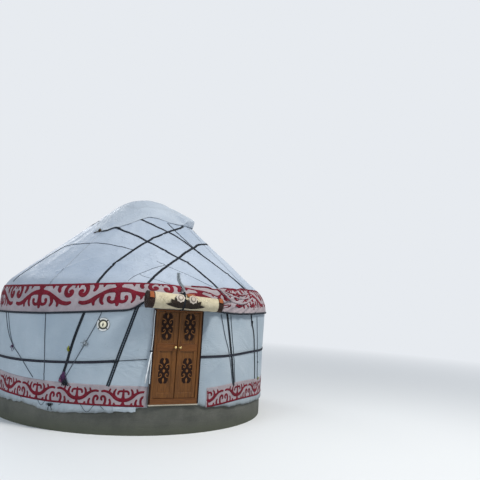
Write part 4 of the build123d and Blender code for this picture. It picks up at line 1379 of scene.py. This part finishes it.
roof_ropes = (
    ("roof_rope_1", 0.005, ((-76, 0.30), (-75.8, 1.08), (-71.8, 1.45), (-59.8, 1.50), (-41.6, 1.53),
                            (-28.3, 1.45), (-20.5, 1.38))),
    ("roof_rope_2", 0.006, ((9, 2.42), (13.5, 2.14), (17.2, 1.90), (21.5, 1.62), (29.5, 1.15), (35.5, 0.75),
                            (38.2, 0.44))),
    ("roof_thread_1", 0.0032, ((-19.5, 0.44), (-15.9, 0.65), (-11.8, 0.78), (-8.0, 0.885), (-3.9, 0.985))),
    ("roof_thread_2", 0.0028, ((-7.9, 1.07), (-1.7, 0.92), (4.7, 0.765), (10.5, 0.61), (15.6, 0.46))),
    ("roof_thread_3", 0.0022, ((-15.6, 0.64), (-11.3, 0.575), (-7.3, 0.51), (-3.5, 0.44))),
    ("roof_rope_3", 0.005, ((104, 0.40), (104.2, 1.08), (108.2, 1.45), (120.2, 1.50), (138.4, 1.53),
                            (151.7, 1.45), (159.5, 1.38))),
)
for number, (radius, places) in enumerate(wall_ropes, 1):
    path = cloth_path([(a, wall_along(h)) for a, h in places], 0.025, radius)
    settle(tube(f"rope_{number}", [path], radius, pale_rope_finish), "webbing")
for name, radius, places in roof_ropes:
    settle(tube(name, [cloth_path(places, 0.025, radius)], radius, rope_finish), "webbing")
print("ropes laid", len(wall_ropes) + len(roof_ropes))

# %% Tie the belt round
belt_width = 0.042
belt_lift = 0.0062
belt_turns = np.linspace(9.4, 338.6, 420)
belt_at = wall_along(belt_height(belt_turns))
belt_path = (on_cover(belt_turns, belt_at, belt_lift), outward_at(belt_turns, belt_at))
belt = tape("girth_belt_tape", [belt_path], belt_width, strap_thickness, belt_finish)
settle(belt, "webbing", "girth_belt")
cord_places = [(a, wall_along(belt_height(a))) for a in np.linspace(-21.6, -10.4, 6)]
settle(tube("belt_cord", [cloth_path(cord_places, 0.03, 0.006)], 0.005, rope_finish), "webbing")
print("belt goes round", round(float(belt_turns[-1] - belt_turns[0])), "degrees")

# %% Sew a rope into the edge of the band
edge_rope_radius = 0.016
spin = np.arange(0, 360, 0.5)
edge_at = eaves_top(spin) - eaves_width(spin) - 0.012
edge_points = skin(spin, edge_at, eaves_rise(spin, eaves_width(spin)) + 0.004)
edge_points = np.vstack([edge_points, edge_points[:1]])
edge_path = (edge_points, outward_at(np.append(spin, 0), 0.0))
settle(tube("eaves_edge_rope", [edge_path], edge_rope_radius, rope_finish, 10), "webbing")
edge_length = float(np.linalg.norm(np.diff(edge_points, axis=0), axis=1).sum())
print("edge rope", round(edge_length, 1), "m long")

# %% Twist the loose cloth right of the curtain
twists = (
    (crimson_finish, 0.014,
     ((5, 0.010), (10.3, 0.015), (13.5, 0.02), (16.2, 0.07), (18.2, 0.165), (19.2, 0.21))),
    (band_cloth_finish, 0.019,
     ((16.5, 0.015), (19.4, 0.145), (22.2, 0.24), (26.7, 0.295), (32.7, 0.27), (38.3, 0.195))),
    (band_cloth_finish, 0.014, ((16.8, 0.04), (20.4, 0.105), (23.3, 0.16), (30.2, 0.21), (35.5, 0.17))),
    (crimson_finish, 0.013, ((23.6, 0.325), (27.9, 0.335), (33.5, 0.27), (37.8, 0.17))),
    (crimson_finish, 0.010, ((16.5, 0.01), (23.6, 0.005), (32.4, 0.005), (46, 0.012))),
    (crimson_finish, 0.012, ((19.5, 0.07), (24, 0.115), (29, 0.15), (33, 0.135))),
)
for k, (finish, thick, places) in enumerate(twists):
    path = smooth_path([(radians(a) * skin_radius, t) for a, t in places], 0.02)
    turns, below = np.degrees(path[:, 0] / skin_radius), path[:, 1]
    path = (on_eaves(turns, below, thick * 0.3), outward_at(turns, 0.1))
    settle(tube(f"band_twist_{k + 1}", [path], thick, finish, 9), "ornament_cloth")
print("twists laid", len(twists))

# %% [markdown]
# ## Knots, bows and tassels
# Wherever a rope is made fast there is a knot, a bow or a bunch of coloured wool. A knot is a
# short coil of three turns, a bow is two loops with two tails, and a tassel is a sheaf of strands.

# %% Make knots, bows and tassels
def tie_knot(name, azimuth, along, size, cord, finish):
    """Three uneven turns of cord round a rope."""
    turns = np.linspace(0, 3, 34) * 2 * pi
    wobble = 1 + 0.15 * np.sin(turns * 1.7)
    places = []
    for t, w in zip(turns, wobble):
        up = size * (0.5 * w * sin(t) + 0.35 * (t / 6 - 1.5))
        places.append((size * w * cos(t), up, cord + 0.5 * size * (1 + sin(t))))
    settle(tube(name, [patch_path(azimuth, along, places)], cord, finish, 6), "webbing")


def tie_bow(name, azimuth, along, size, finish, tilt=0.0):
    """Two loops and two tails."""
    def turned(places):
        c, s = cos(tilt), sin(tilt)
        return [(size * (x * c - y * s), size * (x * s + y * c), 0.006 + size * z) for x, y, z in places]
    loops = [[(0, 0, 0.1), (k * 0.5, 0.34, 0.25), (k * 1.0, 0.2, 0.3), (k * 0.8, -0.12, 0.2), (0, 0, 0.2)]
             for k in (-1, 1)]
    tails = [[(0, 0, 0.1), (k * 0.3, -0.5, 0.2), (k * 0.55, -1.1, 0.1), (k * 0.5, -1.5, 0.1)]
             for k in (-1, 1)]
    paths = [patch_path(azimuth, along, turned(one)) for one in loops + tails]
    settle(tube(name, paths, 0.0045, finish, 6), "webbing")


def tie_tassel(name, azimuth, along, length, spread, strands, finish, seed):
    """A sheaf of wool strands that hangs from a knot."""
    paths = []
    for k in range(strands):
        lean = float(smooth_noise(k * 1.37, 0.5, seed)) * spread
        depth = 0.006 + 0.011 * (1 + float(smooth_noise(k * 2.11, 1.5, seed)))
        reach = length * (0.75 + 0.25 * float(smooth_noise(k * 1.91, 2.5, seed)))
        places = [(lean * 0.15, 0.012, 0.012), (lean * 0.5, -reach * 0.3, depth + 0.006),
                  (lean * 0.85, -reach * 0.65, depth), (lean, -reach, depth * 0.7)]
        paths.append(patch_path(azimuth, along, places, 0.02))
    settle(tube(name, paths, 0.0042, finish, 5), "ornament_cloth")


print("knotting tools ready")

# %% Tie them on
ties = (
    (tie_tassel, "tassel_purple", -38.8, 0.43, 0.19, 0.085, 44, purple_wool_finish, 3),
    (tie_tassel, "tassel_dark", -38.0, 0.33, 0.12, 0.10, 26, strap_finish, 4),
    (tie_tassel, "tassel_pink", -39.9, 0.33, 0.05, 0.05, 5, pink_wool_finish, 8),
    (tie_knot, "tassel_knot", -38.7, 0.43, 0.02, 0.007, purple_wool_finish),
    (tie_tassel, "tuft_green", -37.9, 0.86, 0.10, 0.034, 16, green_wool_finish, 5),
    (tie_knot, "tuft_green_knot", -37.2, 0.82, 0.018, 0.005, strap_finish),
    (tie_tassel, "tuft_yellow", 48.0, 0.30, 0.06, 0.03, 9, green_wool_finish, 6),
    (tie_tassel, "tuft_strap_d", 37.7, 1.40, 0.09, 0.03, 10, strap_finish, 7),
    (tie_knot, "strap_d_knot", 37.7, 1.4, 0.018, 0.006, strap_finish),
    (tie_knot, "left_rope_knot", -65.2, 0.755, 0.02, 0.006, purple_wool_finish),
    (tie_bow, "left_rope_bow", -65.2, 0.755, 0.055, purple_wool_finish, 0.5),
    (tie_bow, "rope_1_bow", -32.0, 0.938, 0.052, sling_finish, -1.2),
    (tie_knot, "rope_1_knot", -31.9, 0.925, 0.032, 0.009, sling_finish),
    (tie_knot, "belt_knot", -21.4, 0.676, 0.02, 0.007, rope_finish),
    (tie_bow, "belt_bow", -21.2, 0.668, 0.045, rope_finish, 0.3),
    (tie_bow, "hem_bow", -42.8, -0.09, 0.06, rope_finish, 0.1),
    (tie_knot, "hem_knot", -42.8, -0.09, 0.026, 0.007, strap_finish),
    (tie_knot, "right_rope_knot", 24.9, 0.62, 0.018, 0.005, rope_finish),
    (tie_knot, "rope_7_knot", 46.6, 0.6, 0.014, 0.005, rope_finish),
    (tie_bow, "back_bow", 221.0, 0.62, 0.05, rope_finish, 0.2),
    (tie_tassel, "tassel_back", 141.2, 0.43, 0.18, 0.08, 30, purple_wool_finish, 9),
    (tie_knot, "tassel_back_knot", 141.3, 0.43, 0.017, 0.006, purple_wool_finish),
)
for tie, name, azimuth, height, *rest in ties:
    tie(name, azimuth, wall_along(height), *rest)
print("knots, bows and tassels tied", len(ties))

# %% Lace the hem
lacing = ([(-49.0, 0.0), (-46.6, -0.12), (-44.6, -0.02)], [(-39.5, -0.08), (-37.6, -0.02)],
          [(-32.0, -0.02), (-29.2, -0.15), (-27.0, -0.04)], [(-25.0, -0.03), (-23.4, -0.10)],
          [(-58, 0.0), (-56, -0.07)])
laces = [cloth_path([(a + half_turn, wall_along(h)) for a, h in lace], 0.03, 0.004)
         for half_turn, side_name in half_turns for lace in lacing]
settle(tube("hem_lacing", laces, 0.0032, rope_finish, 6), "webbing")
print("laces", len(laces))

# %% [markdown]
# ## Corner ties of the crown cover
# The crown cover's left corner is knotted to the strap with a brown, stained rope. Short ropes hold
# its other corners.

# %% Tie the corners
corner_ties = (
    ("corner_tie_left", 0.008, ((-57.5, 1.462), (-55, 1.452), (-52.5, 1.435), (-50, 1.432), (-47.5, 1.431))),
    ("corner_tie_back_left", 0.006, ((-146, 1.37), (-144, 1.56), (-143, 1.75))),
    ("corner_tie_back_right", 0.006, ((124, 1.37), (122, 1.56), (121, 1.75))),
    ("corner_tie_right", 0.005, ((70, 1.05), (72.6, 1.35), (74, 1.62))),
)
for name, thick, places in corner_ties:
    path = cloth_path([(a, float(along_at(r))) for a, r in places], 0.02, 0.01)
    settle(tube(name, [path], thick, stained_rope_finish), "webbing")
tie_knot("corner_knot", -52.2, float(along_at(1.428)), 0.034, 0.01, stained_rope_finish)
print("corners tied", len(corner_ties))

# %% [markdown]
# ## The medallion
# A round tin ornament hangs on the canvas left of the door: a dark dish, a bright rim in four
# arcs, and a pale boss with an upright slit. Each ring is turned from a profile of a few radii.

# %% Turn rings on the wall
medallion_along = wall_along(medallion_height)


def on_wall_spot(right, up, lift):
    """Points near the medallion, on the plain wall."""
    turns = medallion_azimuth + np.degrees(right / wall_radius)
    return skin(turns, medallion_along + up, wall_drop + 0.006 + lift)


def turned_ring(name, profile, start, stop, finish):
    """Part of a turned ring; the profile is (radius, lift) from outside to inside."""
    count = max(6, int(abs(stop - start) / 6))
    turns = np.radians(np.linspace(start, stop, count))
    radius, lift = np.array(profile).T
    points = on_wall_spot(np.cos(turns)[:, None] * radius, np.sin(turns)[:, None] * radius, lift)
    sides = len(radius)
    faces = [(b, a, d, c) for a, b, c, d in sleeve_faces(count, sides)]
    faces.append(tuple(range(sides)))
    faces.append(tuple((count - 1) * sides + k for k in range(sides))[::-1])
    return settle(new_piece(name, points.reshape(-1, 3), faces, finish, smooth=False), "hinge_iron")


print("middle of the medallion at", np.round(on_wall_spot(0, 0, 0), 2))

# %% Turn the medallion
dish_profile = [(0.111, 0.0), (0.111, 0.006), (0.104, 0.009), (0.070, 0.007), (0.001, 0.007), (0.001, 0.0)]
arc_profile = [(0.107, 0.006), (0.106, 0.013), (0.100, 0.016), (0.084, 0.015), (0.080, 0.007)]
boss_profile = [(0.054, 0.005), (0.052, 0.013), (0.044, 0.018), (0.028, 0.020), (0.001, 0.0205),
                (0.001, 0.004)]
arc_start, arc_stop = 51, 129
dish = turned_ring("medallion_dish", dish_profile, 0, 360, olive_finish)
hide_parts("wall_medallion")
for k in range(4):
    turned_ring(f"medallion_arc_{k + 1}", arc_profile, arc_start + 90 * k, arc_stop + 90 * k, tin_finish)
turned_ring("medallion_boss", boss_profile, 0, 360, boss_finish)
flat, faces = cut_out([stroke([(0.0, -0.026, 0.012), (0.0, 0.0, 0.020), (0.0, 0.026, 0.012)], 0.006)], 0.02)
slit = new_piece("medallion_slit", on_wall_spot(flat[:, 0], flat[:, 1], 0.0235), faces, carving_finish, flat)
thicken(slit, 0.004)
settle(slit, "hinge_iron")
print("medallion", round(2000 * dish_profile[0][0]), "mm wide")

# %% [markdown]
# ## The rolled curtain
# The door curtain is a felt sheet rolled up under the eaves. Its section is a real spiral of more
# than five turns, so both ends show their layers, and the roll is fatter at its looser left end.
# The dark felt borders are separate rolls on the same spiral.

# %% Shape the roll
roll_middle = np.array([0.0, -2.896, 2.202])
roll_droop = radians(2)
roll_axis = np.array([cos(roll_droop), 0.0, -sin(roll_droop)])
roll_front = np.array([0.0, -1.0, 0.0])
roll_top = np.array([sin(roll_droop), 0.0, cos(roll_droop)])
roll_turns = 5.6
roll_end = 300.0
roll_core = 0.2


def roll_radius(u):
    """Outer radius at a distance along the axis; the left end is fatter."""
    return 0.139 - 0.02 * u


def around_roll(u, angle, radius):
    """Points round the roll's axis; 0 degrees is its top and 90 its front."""
    u, angle, radius = np.broadcast_arrays(u, np.radians(angle), radius)
    return (roll_middle + u[..., None] * roll_axis + (radius * np.sin(angle))[..., None] * roll_front
            + (radius * np.cos(angle))[..., None] * roll_top)


def roll_lumps(u, angle):
    """Dents of the outer layer."""
    turns = np.mod(angle, 360) / 360
    broad = 0.0035 * smooth_noise(turns * 6, u * 5 + 9, 61, 6)
    return broad + 0.0015 * smooth_noise(turns * 18, u * 16 + 9, 62, 18)


def on_roll(u, rise, lift=0.0):
    """Points on the roll's outer layer; rise is measured round it, upwards from its front."""
    size = roll_radius(u)
    angle = 90 - np.degrees(rise / size)
    return around_roll(u, angle, size + roll_lumps(u, angle) + lift)


print("front of the roll at", np.round(on_roll(0.0, 0.0), 2))


# %% Roll the felt
def felt_roll(name, left, right, finish, extra=0.0):
    """A spiral of felt between two places along the axis."""
    columns = max(5, int((right - left) / 0.024))
    around = np.linspace(roll_end - 360 * roll_turns, roll_end, 150)
    share = roll_core + (1 - roll_core) * (around - around[0]) / (around[-1] - around[0])
    outer_turn = ease(around, roll_end - 360, roll_end - 300)
    felt = 0.75 * (1 - roll_core) / roll_turns
    rings = []
    for u in np.linspace(left, right, columns):
        slip = 0.007 * np.sin(around / 97.0 + 1.3) * (abs(u) > 0.62) * np.sign(u)
        size = roll_radius(u)
        lumps = roll_lumps(u, around) * outer_turn
        outer = around_roll(u + slip, around, size * share + lumps + extra * outer_turn)
        inner = around_roll(u + slip, around, size * (share - felt) + lumps)
        rings.append(np.vstack([outer, inner[::-1]]))
    rings = np.array(rings)
    count = rings.shape[1]
    faces = sleeve_faces(columns, count)
    last = (columns - 1) * count
    for k in range(count // 2 - 1):
        m = count - 2 - k
        faces.append((k + 1, k, m + 1, m))
        faces.append((last + k, last + k + 1, last + m, last + m + 1))
    return new_piece(name, rings.reshape(-1, 3), faces, finish)


roll_body = settle(felt_roll("curtain_felt", -0.56, 0.612, cream_felt_finish), "felt", "curtain_roll")
roll_left = felt_roll("curtain_border_left", -0.645, -0.535, dark_felt_finish, 0.003)
settle(roll_left, "dark_felt", "roll_end_bands")
roll_right = felt_roll("curtain_border_right", 0.602, 0.686, dark_felt_finish, 0.003)
settle(roll_right, "dark_felt")
print("curtain rolled", len(roll_body.data.polygons), "faces in the cream felt")


# %% Sew on the black ornament and the orange patches, which are partly painted sunlight
def applique(name, outlines, lift, thickness, finish, spacing=0.02):
    """A flat cut laid on the roll."""
    flat, faces = cut_out(outlines, spacing)
    piece = new_piece(name, on_roll(flat[:, 0], flat[:, 1], lift + thickness), faces, finish, flat)
    thicken(piece, thickness)
    settle(piece, "dark_felt")


jagged_half = [(0.0, 0.045), (0.04, 0.02), (0.075, 0.01), (0.092, 0.06), (0.105, 0.10), (0.13, 0.140),
               (0.142, 0.10), (0.15, 0.05), (0.19, 0.085), (0.20, 0.05), (0.205, 0.01), (0.24, 0.025),
               (0.27, 0.035), (0.265, -0.005), (0.26, -0.03), (0.30, -0.040), (0.345, -0.055),
               (0.31, -0.076), (0.25, -0.092), (0.19, -0.108), (0.12, -0.122), (0.06, -0.118), (0.0, -0.115)]
jagged = jagged_half + [(-x, y) for x, y in jagged_half[-2:0:-1]]
applique("curtain_ornament", [jagged], 0.0005, 0.004, black_felt_finish)
# The orange patches lie on the top of the roll and of its dark ends, where sun falls: partly orange felt,
# partly painted sunlight.
sunlit_patches = (("orange_patch_left", -0.592, 0.085, 0.078, 0.11),
           ("orange_patch_middle", 0.105, 0.15, 0.165, 0.11),
           ("orange_patch_right", 0.64, 0.09, 0.078, 0.09))
for name, middle_u, rise, wide, high in sunlit_patches:
    corners = [(middle_u - wide / 2, rise - high / 2), (middle_u + wide / 2, rise - high / 2 - 0.006),
               (middle_u + wide / 2 - 0.008, rise + high / 2),
               (middle_u - wide / 2 + 0.005, rise + high / 2 - 0.004)]
    applique(name, [corners], 0.0035, 0.004, orange_and_sunlight_finish)
print("patches sewn on", len(sunlit_patches))


# %% Sew on the rosettes
def rosette(name, middle_u, rise):
    """A flower of felt petals with a dark ring and a button."""
    turns = np.radians(np.arange(0, 360, 5))
    petals = 0.08 * (1 - 0.14 * np.abs(np.sin(turns * 4)))
    parts = (("petals", petals, 0.005, rosette_finish), ("ring", 0.046, 0.011, rosette_ring_finish),
             ("button", 0.032, 0.015, rosette_finish))
    for part, radius, lift, finish in parts:
        ring = np.column_stack([middle_u + radius * np.cos(turns), rise + radius * np.sin(turns)])
        applique(f"{name}_{part}", [ring], lift, 0.005, finish, 0.012)


rosette("rosette_left", -0.105, 0.062)
rosette("rosette_right", 0.118, 0.056)
print("rosettes sewn on")

# %% [markdown]
# ## The curtain's sling
# Two grey straps come down from the roof to a black knot, and a black strap goes round the roll.

# %% Pass the sling round the roll
sling_u = -0.03
angles = np.linspace(-110, 250, 50)
ring_points = around_roll(sling_u, angles, roll_radius(sling_u) + 0.0075)
ring_out = around_roll(sling_u, angles, 1.0) - around_roll(sling_u, angles, 0.0)
ring = tape("roll_sling_front", [(ring_points, ring_out)], 0.032, 0.002, strap_finish)
settle(ring, "webbing", "roll_sling")
knot_place = around_roll(sling_u, 24, roll_radius(sling_u) + 0.012)
print("knot of the sling at", np.round(knot_place, 2))

# %% Hang the sling from the roof
uprights = []
for turn_top, turn_low, bow_out in ((1.25, 1.1, -0.031), (1.95, 1.6, -0.0275)):
    along_top, along_low = float(along_at(2.325)), float(eaves_top(0.0)) - 0.07
    places = np.linspace(0, 1, 12)
    turns = turn_top + (turn_low - turn_top) * places + bow_out * 30 * np.sin(places * pi)
    alongs = along_top + (along_low - along_top) * places
    on_skin = skin(turns, alongs, cover_rise(turns, alongs) + 0.004 + 0.014 * ease(places, 0.6, 1.0))
    hung = np.vstack([on_skin, on_skin[-1] * 0.4 + knot_place * 0.6 + [0, 0, 0.01], knot_place])
    out = outward_at(np.append(turns, [turn_low] * 2), np.append(alongs, [along_low] * 2))
    uprights.append((hung, out))
settle(tape("roll_sling_straps", uprights, 0.024, 0.003, sling_finish), "webbing")
print("sling hung on", len(uprights), "straps")

# %% Knot the sling
knot_out = [0.0, -1.0, 0.3]
t = np.linspace(0, 2 * pi, 16)
knots = []
for k in range(3):
    loop = np.column_stack([0.024 * np.cos(t) * (1 - 0.2 * k), -0.006 - 0.010 * np.sin(t),
                            0.014 * np.sin(t) + (k - 1) * 0.01])
    knots.append(facing(knot_place + loop, knot_out))
for lean in (-0.03, 0.022):
    tail = np.array([[0, -0.012, 0], [lean * 0.6, -0.022, -0.02], [lean, -0.026, -0.045],
                     [lean * 1.3, -0.024, -0.07]])
    knots.append(facing(smooth_path(knot_place + tail, 0.01), knot_out))
settle(tube("roll_sling_knot", knots, 0.007, strap_finish, 7), "webbing")
print("loops and tails in the knot", len(knots))

# %% [markdown]
# ## Loose canvas beside the door
# Left of the door the cut edge of the wall canvas is folded back on itself. It shows as a bright
# strip that leans outwards as it goes down. A narrow pale strip runs along the door frame, lighter
# than the wall canvas to paint the highlight on the canvas edge, and a dark tie holds the two together.

# %% Fold the edge of the canvas
columns, rows = 14, 40
share, climb = grid(np.linspace(0, 1, columns), np.linspace(0, 1, rows))
height = 0.85 + 0.5 * climb
left_x = -0.462 - 0.066 * (1 - climb)
right_x = left_x + 0.026 - 0.006 * (1 - climb)
flap_x = left_x + (right_x - left_x) * share + 0.004 * smooth_noise(climb * 9, share * 2, 71)
folds = 0.006 * smooth_noise(share * 2.2, climb * 7, 72)
flap_y = -2.754 - 0.016 * np.sin(share * pi) - folds - 0.006 * share
flap = cloth_piece("canvas_edge_flap", np.stack([flap_x, flap_y, height], -1), share * 0.1, height,
                   edge_canvas_finish)
settle_canvas(flap, 0.4, 0.4 * bell(climb, 0.15))
print("edge folded back")

# %% Lay a pale strip along the door frame as a painted highlight
door_front = [0.0, -1.0, 0.0]
edge_y = -2.7535
climb = np.linspace(0, 1, 60)
edge_x = -0.4385 - 0.002 * np.sin(climb * 17) - 0.006 * bell(climb - 0.4, 0.2)
points = np.column_stack([edge_x, np.full(60, edge_y), 0.84 + 1.2 * climb])
pale_edge_strip = tape("canvas_edge_highlight_strip", [facing(points, door_front)], 0.013, 0.003, edge_highlight_finish)
mark(pale_edge_strip, "creased", 0.2)
mark(pale_edge_strip, "grime", 0.1)
settle(pale_edge_strip, "canvas")
tie_places = [(-0.480, -2.768, 1.364), (-0.465, -2.776, 1.370), (-0.450, -2.776, 1.368),
              (-0.436, -2.768, 1.372)]
tie_path = facing(smooth_path(tie_places, 0.005), door_front)
settle(tape("canvas_edge_tie", [tie_path], 0.02, strap_thickness, strap_finish), "webbing")
print("edge bound over", round(float(np.ptp(points[:, 2])), 2), "m")

# %% [markdown]
# ## The door
# The CAD nodes that no piece stands for have the right shape and only need a finish, such as the
# wood of the door. A board over the lock rail, a cover strip on the meeting edge, hooks on the
# jambs and the carvings are added to the door.

# %% Finish the CAD nodes
node_finishes = (
    (("door_head", "door_threshold"), rail_wood_finish),
    (("door_jamb", "door_leaf"), door_wood_finish),
    (("door_knob",), brass_finish),
    (("hinge_plates", "door_hinges"), iron_finish),
    (("lattice", "roof_poles", "crown_ring", "crown_bars"), frame_wood_finish),
    (("plinth", "floor_slab"), concrete_finish),
    (("sill_strip",), sill_finish),
    (("wall_cover_over_door",), wall_canvas_finish),
)
dressed = 0
for starts, finish in node_finishes:
    for name, piece in nodes.items():
        if name.startswith(starts):
            piece.data.materials.clear()
            piece.data.materials.append(finish)
            dressed += 1
print("CAD nodes dressed", dressed)

# %% Draw the carvings
plate_half = [(0.007, 0.180), (0.018, 0.200), (0.044, 0.204), (0.068, 0.188), (0.085, 0.158), (0.089, 0.130),
              (0.084, 0.108), (0.096, 0.092), (0.107, 0.064), (0.105, 0.036), (0.096, 0.012), (0.096, -0.012),
              (0.105, -0.036), (0.107, -0.064), (0.096, -0.092), (0.084, -0.108), (0.089, -0.130),
              (0.086, -0.158), (0.068, -0.188), (0.044, -0.204), (0.018, -0.200), (0.007, -0.180)]
plate_outline = plate_half + [(-x, y) for x, y in plate_half[::-1]]
plate_tall = 0.203
upper_scroll = [(0.100, 0.112, 0.010), (0.080, 0.106, 0.013), (0.054, 0.098, 0.014), (0.036, 0.078, 0.013),
                (0.040, 0.056, 0.012), (0.056, 0.048, 0.011), (0.070, 0.058, 0.010), (0.064, 0.068, 0.010)]
lower_scroll = [(x, -y, w) for x, y, w in upper_scroll]
scroll_strokes = both_sides([upper_scroll, lower_scroll, [(0.106, 0.0, 0.016), (0.086, 0.0, 0.010)]])


def leaf_shape(middle, half_width, half_height):
    """Outline of a pointed leaf."""
    turns = np.radians(np.arange(0, 360, 15))
    return np.column_stack([half_width * np.sign(np.cos(turns)) * np.abs(np.cos(turns)) ** 1.4,
                            middle + half_height * np.sign(np.sin(turns)) * np.abs(np.sin(turns)) ** 1.4])


def rectangle(left, right, low, high):
    """Outline of a board."""
    return [(left, low), (right, low), (right, high), (left, high)]


print("scrolls drawn with", len(scroll_strokes), "strokes")


# %% Carve the panels
def wooden_plate(name, outlines, centre, face_y, thickness, finish, body):
    """A thin plate whose front face is at face_y."""
    flat, faces = cut_out(outlines, 0.03)
    points = np.column_stack([centre[0] + flat[:, 0], np.full(len(flat), face_y), centre[1] + flat[:, 1]])
    piece = new_piece(name, points, faces, finish, flat, smooth=False)
    thicken(piece, thickness)
    settle(piece, "varnished_wood", body=body)


leaf_front_y = -2.737
panel_front_y = -2.725
plate_lift = 0.0025
scroll_depth = 0.004
board_depth = 0.005
strip_depth = 0.008
plate_squeeze = 0.93
hands = ((-1, "left"), (1, "right"))
carvings = ((0.205, 1.045, 0.21, panel_front_y - plate_lift),
            (0.203, 1.782, 0.225, leaf_front_y - plate_lift))
for side, hand in hands:
    body = f"leaf_{hand}"
    for storey, (middle_x, height, tall, face_y) in enumerate(carvings):
        size = tall / plate_tall
        centre = (side * middle_x, height)
        plate = [np.array(plate_outline) * (plate_squeeze, size)]
        scrolls = [stroke(s, 0.006) * (plate_squeeze, size) for s in scroll_strokes]
        scrolls += [leaf_shape(0.0, 0.022, 0.028), leaf_shape(0.150 * size, 0.018, 0.040),
                    leaf_shape(-0.15 * size, 0.018, 0.04)]
        wooden_plate(f"carving_{hand}_{storey}", plate, centre, face_y, panel_front_y - face_y,
                     carving_finish, body)
        wooden_plate(f"scrolls_{hand}_{storey}", scrolls, centre, face_y - scroll_depth, scroll_depth,
                     scroll_wood_finish, body)
    inner, outer = sorted((side * 0.014, side * 0.362))
    wooden_plate(f"lock_board_{hand}", [rectangle(inner, outer, 1.373, 1.497)], (0, 0),
                 leaf_front_y - board_depth, board_depth, rail_wood_finish, body)
wooden_plate("meeting_strip", [rectangle(0.006, 0.034, 0.606, 2.012)], (0, 0),
             leaf_front_y - strip_depth, strip_depth, door_wood_finish, "leaf_right")
print("panels carved", len(hands) * len(carvings))

# %% Paint the shadow in the gaps and bend the hooks
hook_x = 0.425
hook_height = 1.392
hook_bend = 0.014
for side, hand in hands:
    inner, outer = sorted((side * 0.4115, side * 0.4365))
    # A dark strip between each jamb and the canvas paints the shadow that falls in the gap there.
    wooden_plate(f"jamb_shadow_strip_{hand}", [rectangle(inner, outer, 0.51, 2.05)], (0, 0), edge_y, 0.004,
                 carving_finish, "root")
    t = np.linspace(0, pi * 1.25, 14)
    bend = np.column_stack([side * hook_x + 0 * t, -2.753 - hook_bend * np.sin(t),
                            hook_height + hook_bend * np.cos(t)])
    points = np.vstack([[side * hook_x, -2.745, hook_height + hook_bend], bend])
    hook = tube(f"jamb_hook_{hand}", [facing(points, [1.0, 0.0, 0.0])], 0.0045, iron_finish, 7)
    settle(hook, "hinge_iron")
print("door finished")

# %% [markdown]
# ## Stage and light
# A pale floor runs back to a pale surround. One broad key lamp stands high on the right, a weaker
# one fills from the left, a third lifts the far edge, and the world gives a cool even sky.

# %% Set the stage
background = (0.8, 0.83, 0.87, 1)
floor_finish, tree, shader = new_material("pale_floor", 0.9)
shader.inputs["Base Color"].default_value = (0.7, 0.72, 0.74, 1)
corners = [(-90, -90, 0), (90, -90, 0), (90, 90, 0), (-90, 90, 0)]
floor = new_piece("floor", corners, [(0, 1, 2, 3)], floor_finish)
away = add(tree, "ShaderNodeVectorMath", {0: coordinates(tree)}, operation="LENGTH").outputs["Value"]
far_off = ramp(tree, calculate(tree, "DIVIDE", away, 40.0), (0.10, 0.0), (0.55, 1.0))
path = add(tree, "ShaderNodeLightPath")
plain = add(tree, "ShaderNodeEmission", {"Color": background, "Strength": 1.0})
fade = calculate(tree, "MULTIPLY", far_off, path.outputs["Is Camera Ray"])
faded = add(tree, "ShaderNodeMixShader", {0: fade, 1: shader.outputs[0], 2: plain.outputs[0]})
tree.links.new(faded.outputs[0], tree.nodes["Material Output"].inputs[0])

world = bpy.data.worlds.new("soft_sky")
world.use_nodes = True
scene.world = world
tree = world.node_tree
sky = tree.nodes["Background"]
path = add(tree, "ShaderNodeLightPath")
seen = add(tree, "ShaderNodeBackground", {"Color": background, "Strength": 1.0})
sky.inputs["Color"].default_value = (0.8, 0.9, 1.0, 1)
sky.inputs["Strength"].default_value = 0.42
straight = calculate(tree, "MAXIMUM", path.outputs["Is Camera Ray"], path.outputs["Is Glossy Ray"])
both = add(tree, "ShaderNodeMixShader", {0: straight, 1: sky.outputs[0], 2: seen.outputs[0]})
tree.links.new(both.outputs[0], tree.nodes["World Output"].inputs[0])


def lamp(name, place, aim, size, power, tint):
    """A square area lamp that looks at a point."""
    data = bpy.data.lights.new(name, "AREA")
    data.size = size
    data.energy = power
    data.color = tint
    made = bpy.data.objects.new(name, data)
    made.location = place
    made.rotation_euler = (Vector(aim) - Vector(place)).to_track_quat("-Z", "Y").to_euler()
    scene.collection.objects.link(made)


lamp("key", (4.8, -8.2, 11.5), (0, 0, 1.5), 2.4, 1500, (1.0, 0.96, 0.90))
lamp("fill", (-10.0, -7.0, 5.0), (0, 0, 1.5), 5.0, 420, (0.90, 0.95, 1.0))
lamp("rim", (-3.0, 11.0, 9.0), (0, 0, 2), 5.0, 450, (1.0, 1.0, 1.0))
scene.view_settings.view_transform = "Standard"
print("stage set")

# %% Finish
print("scene built")
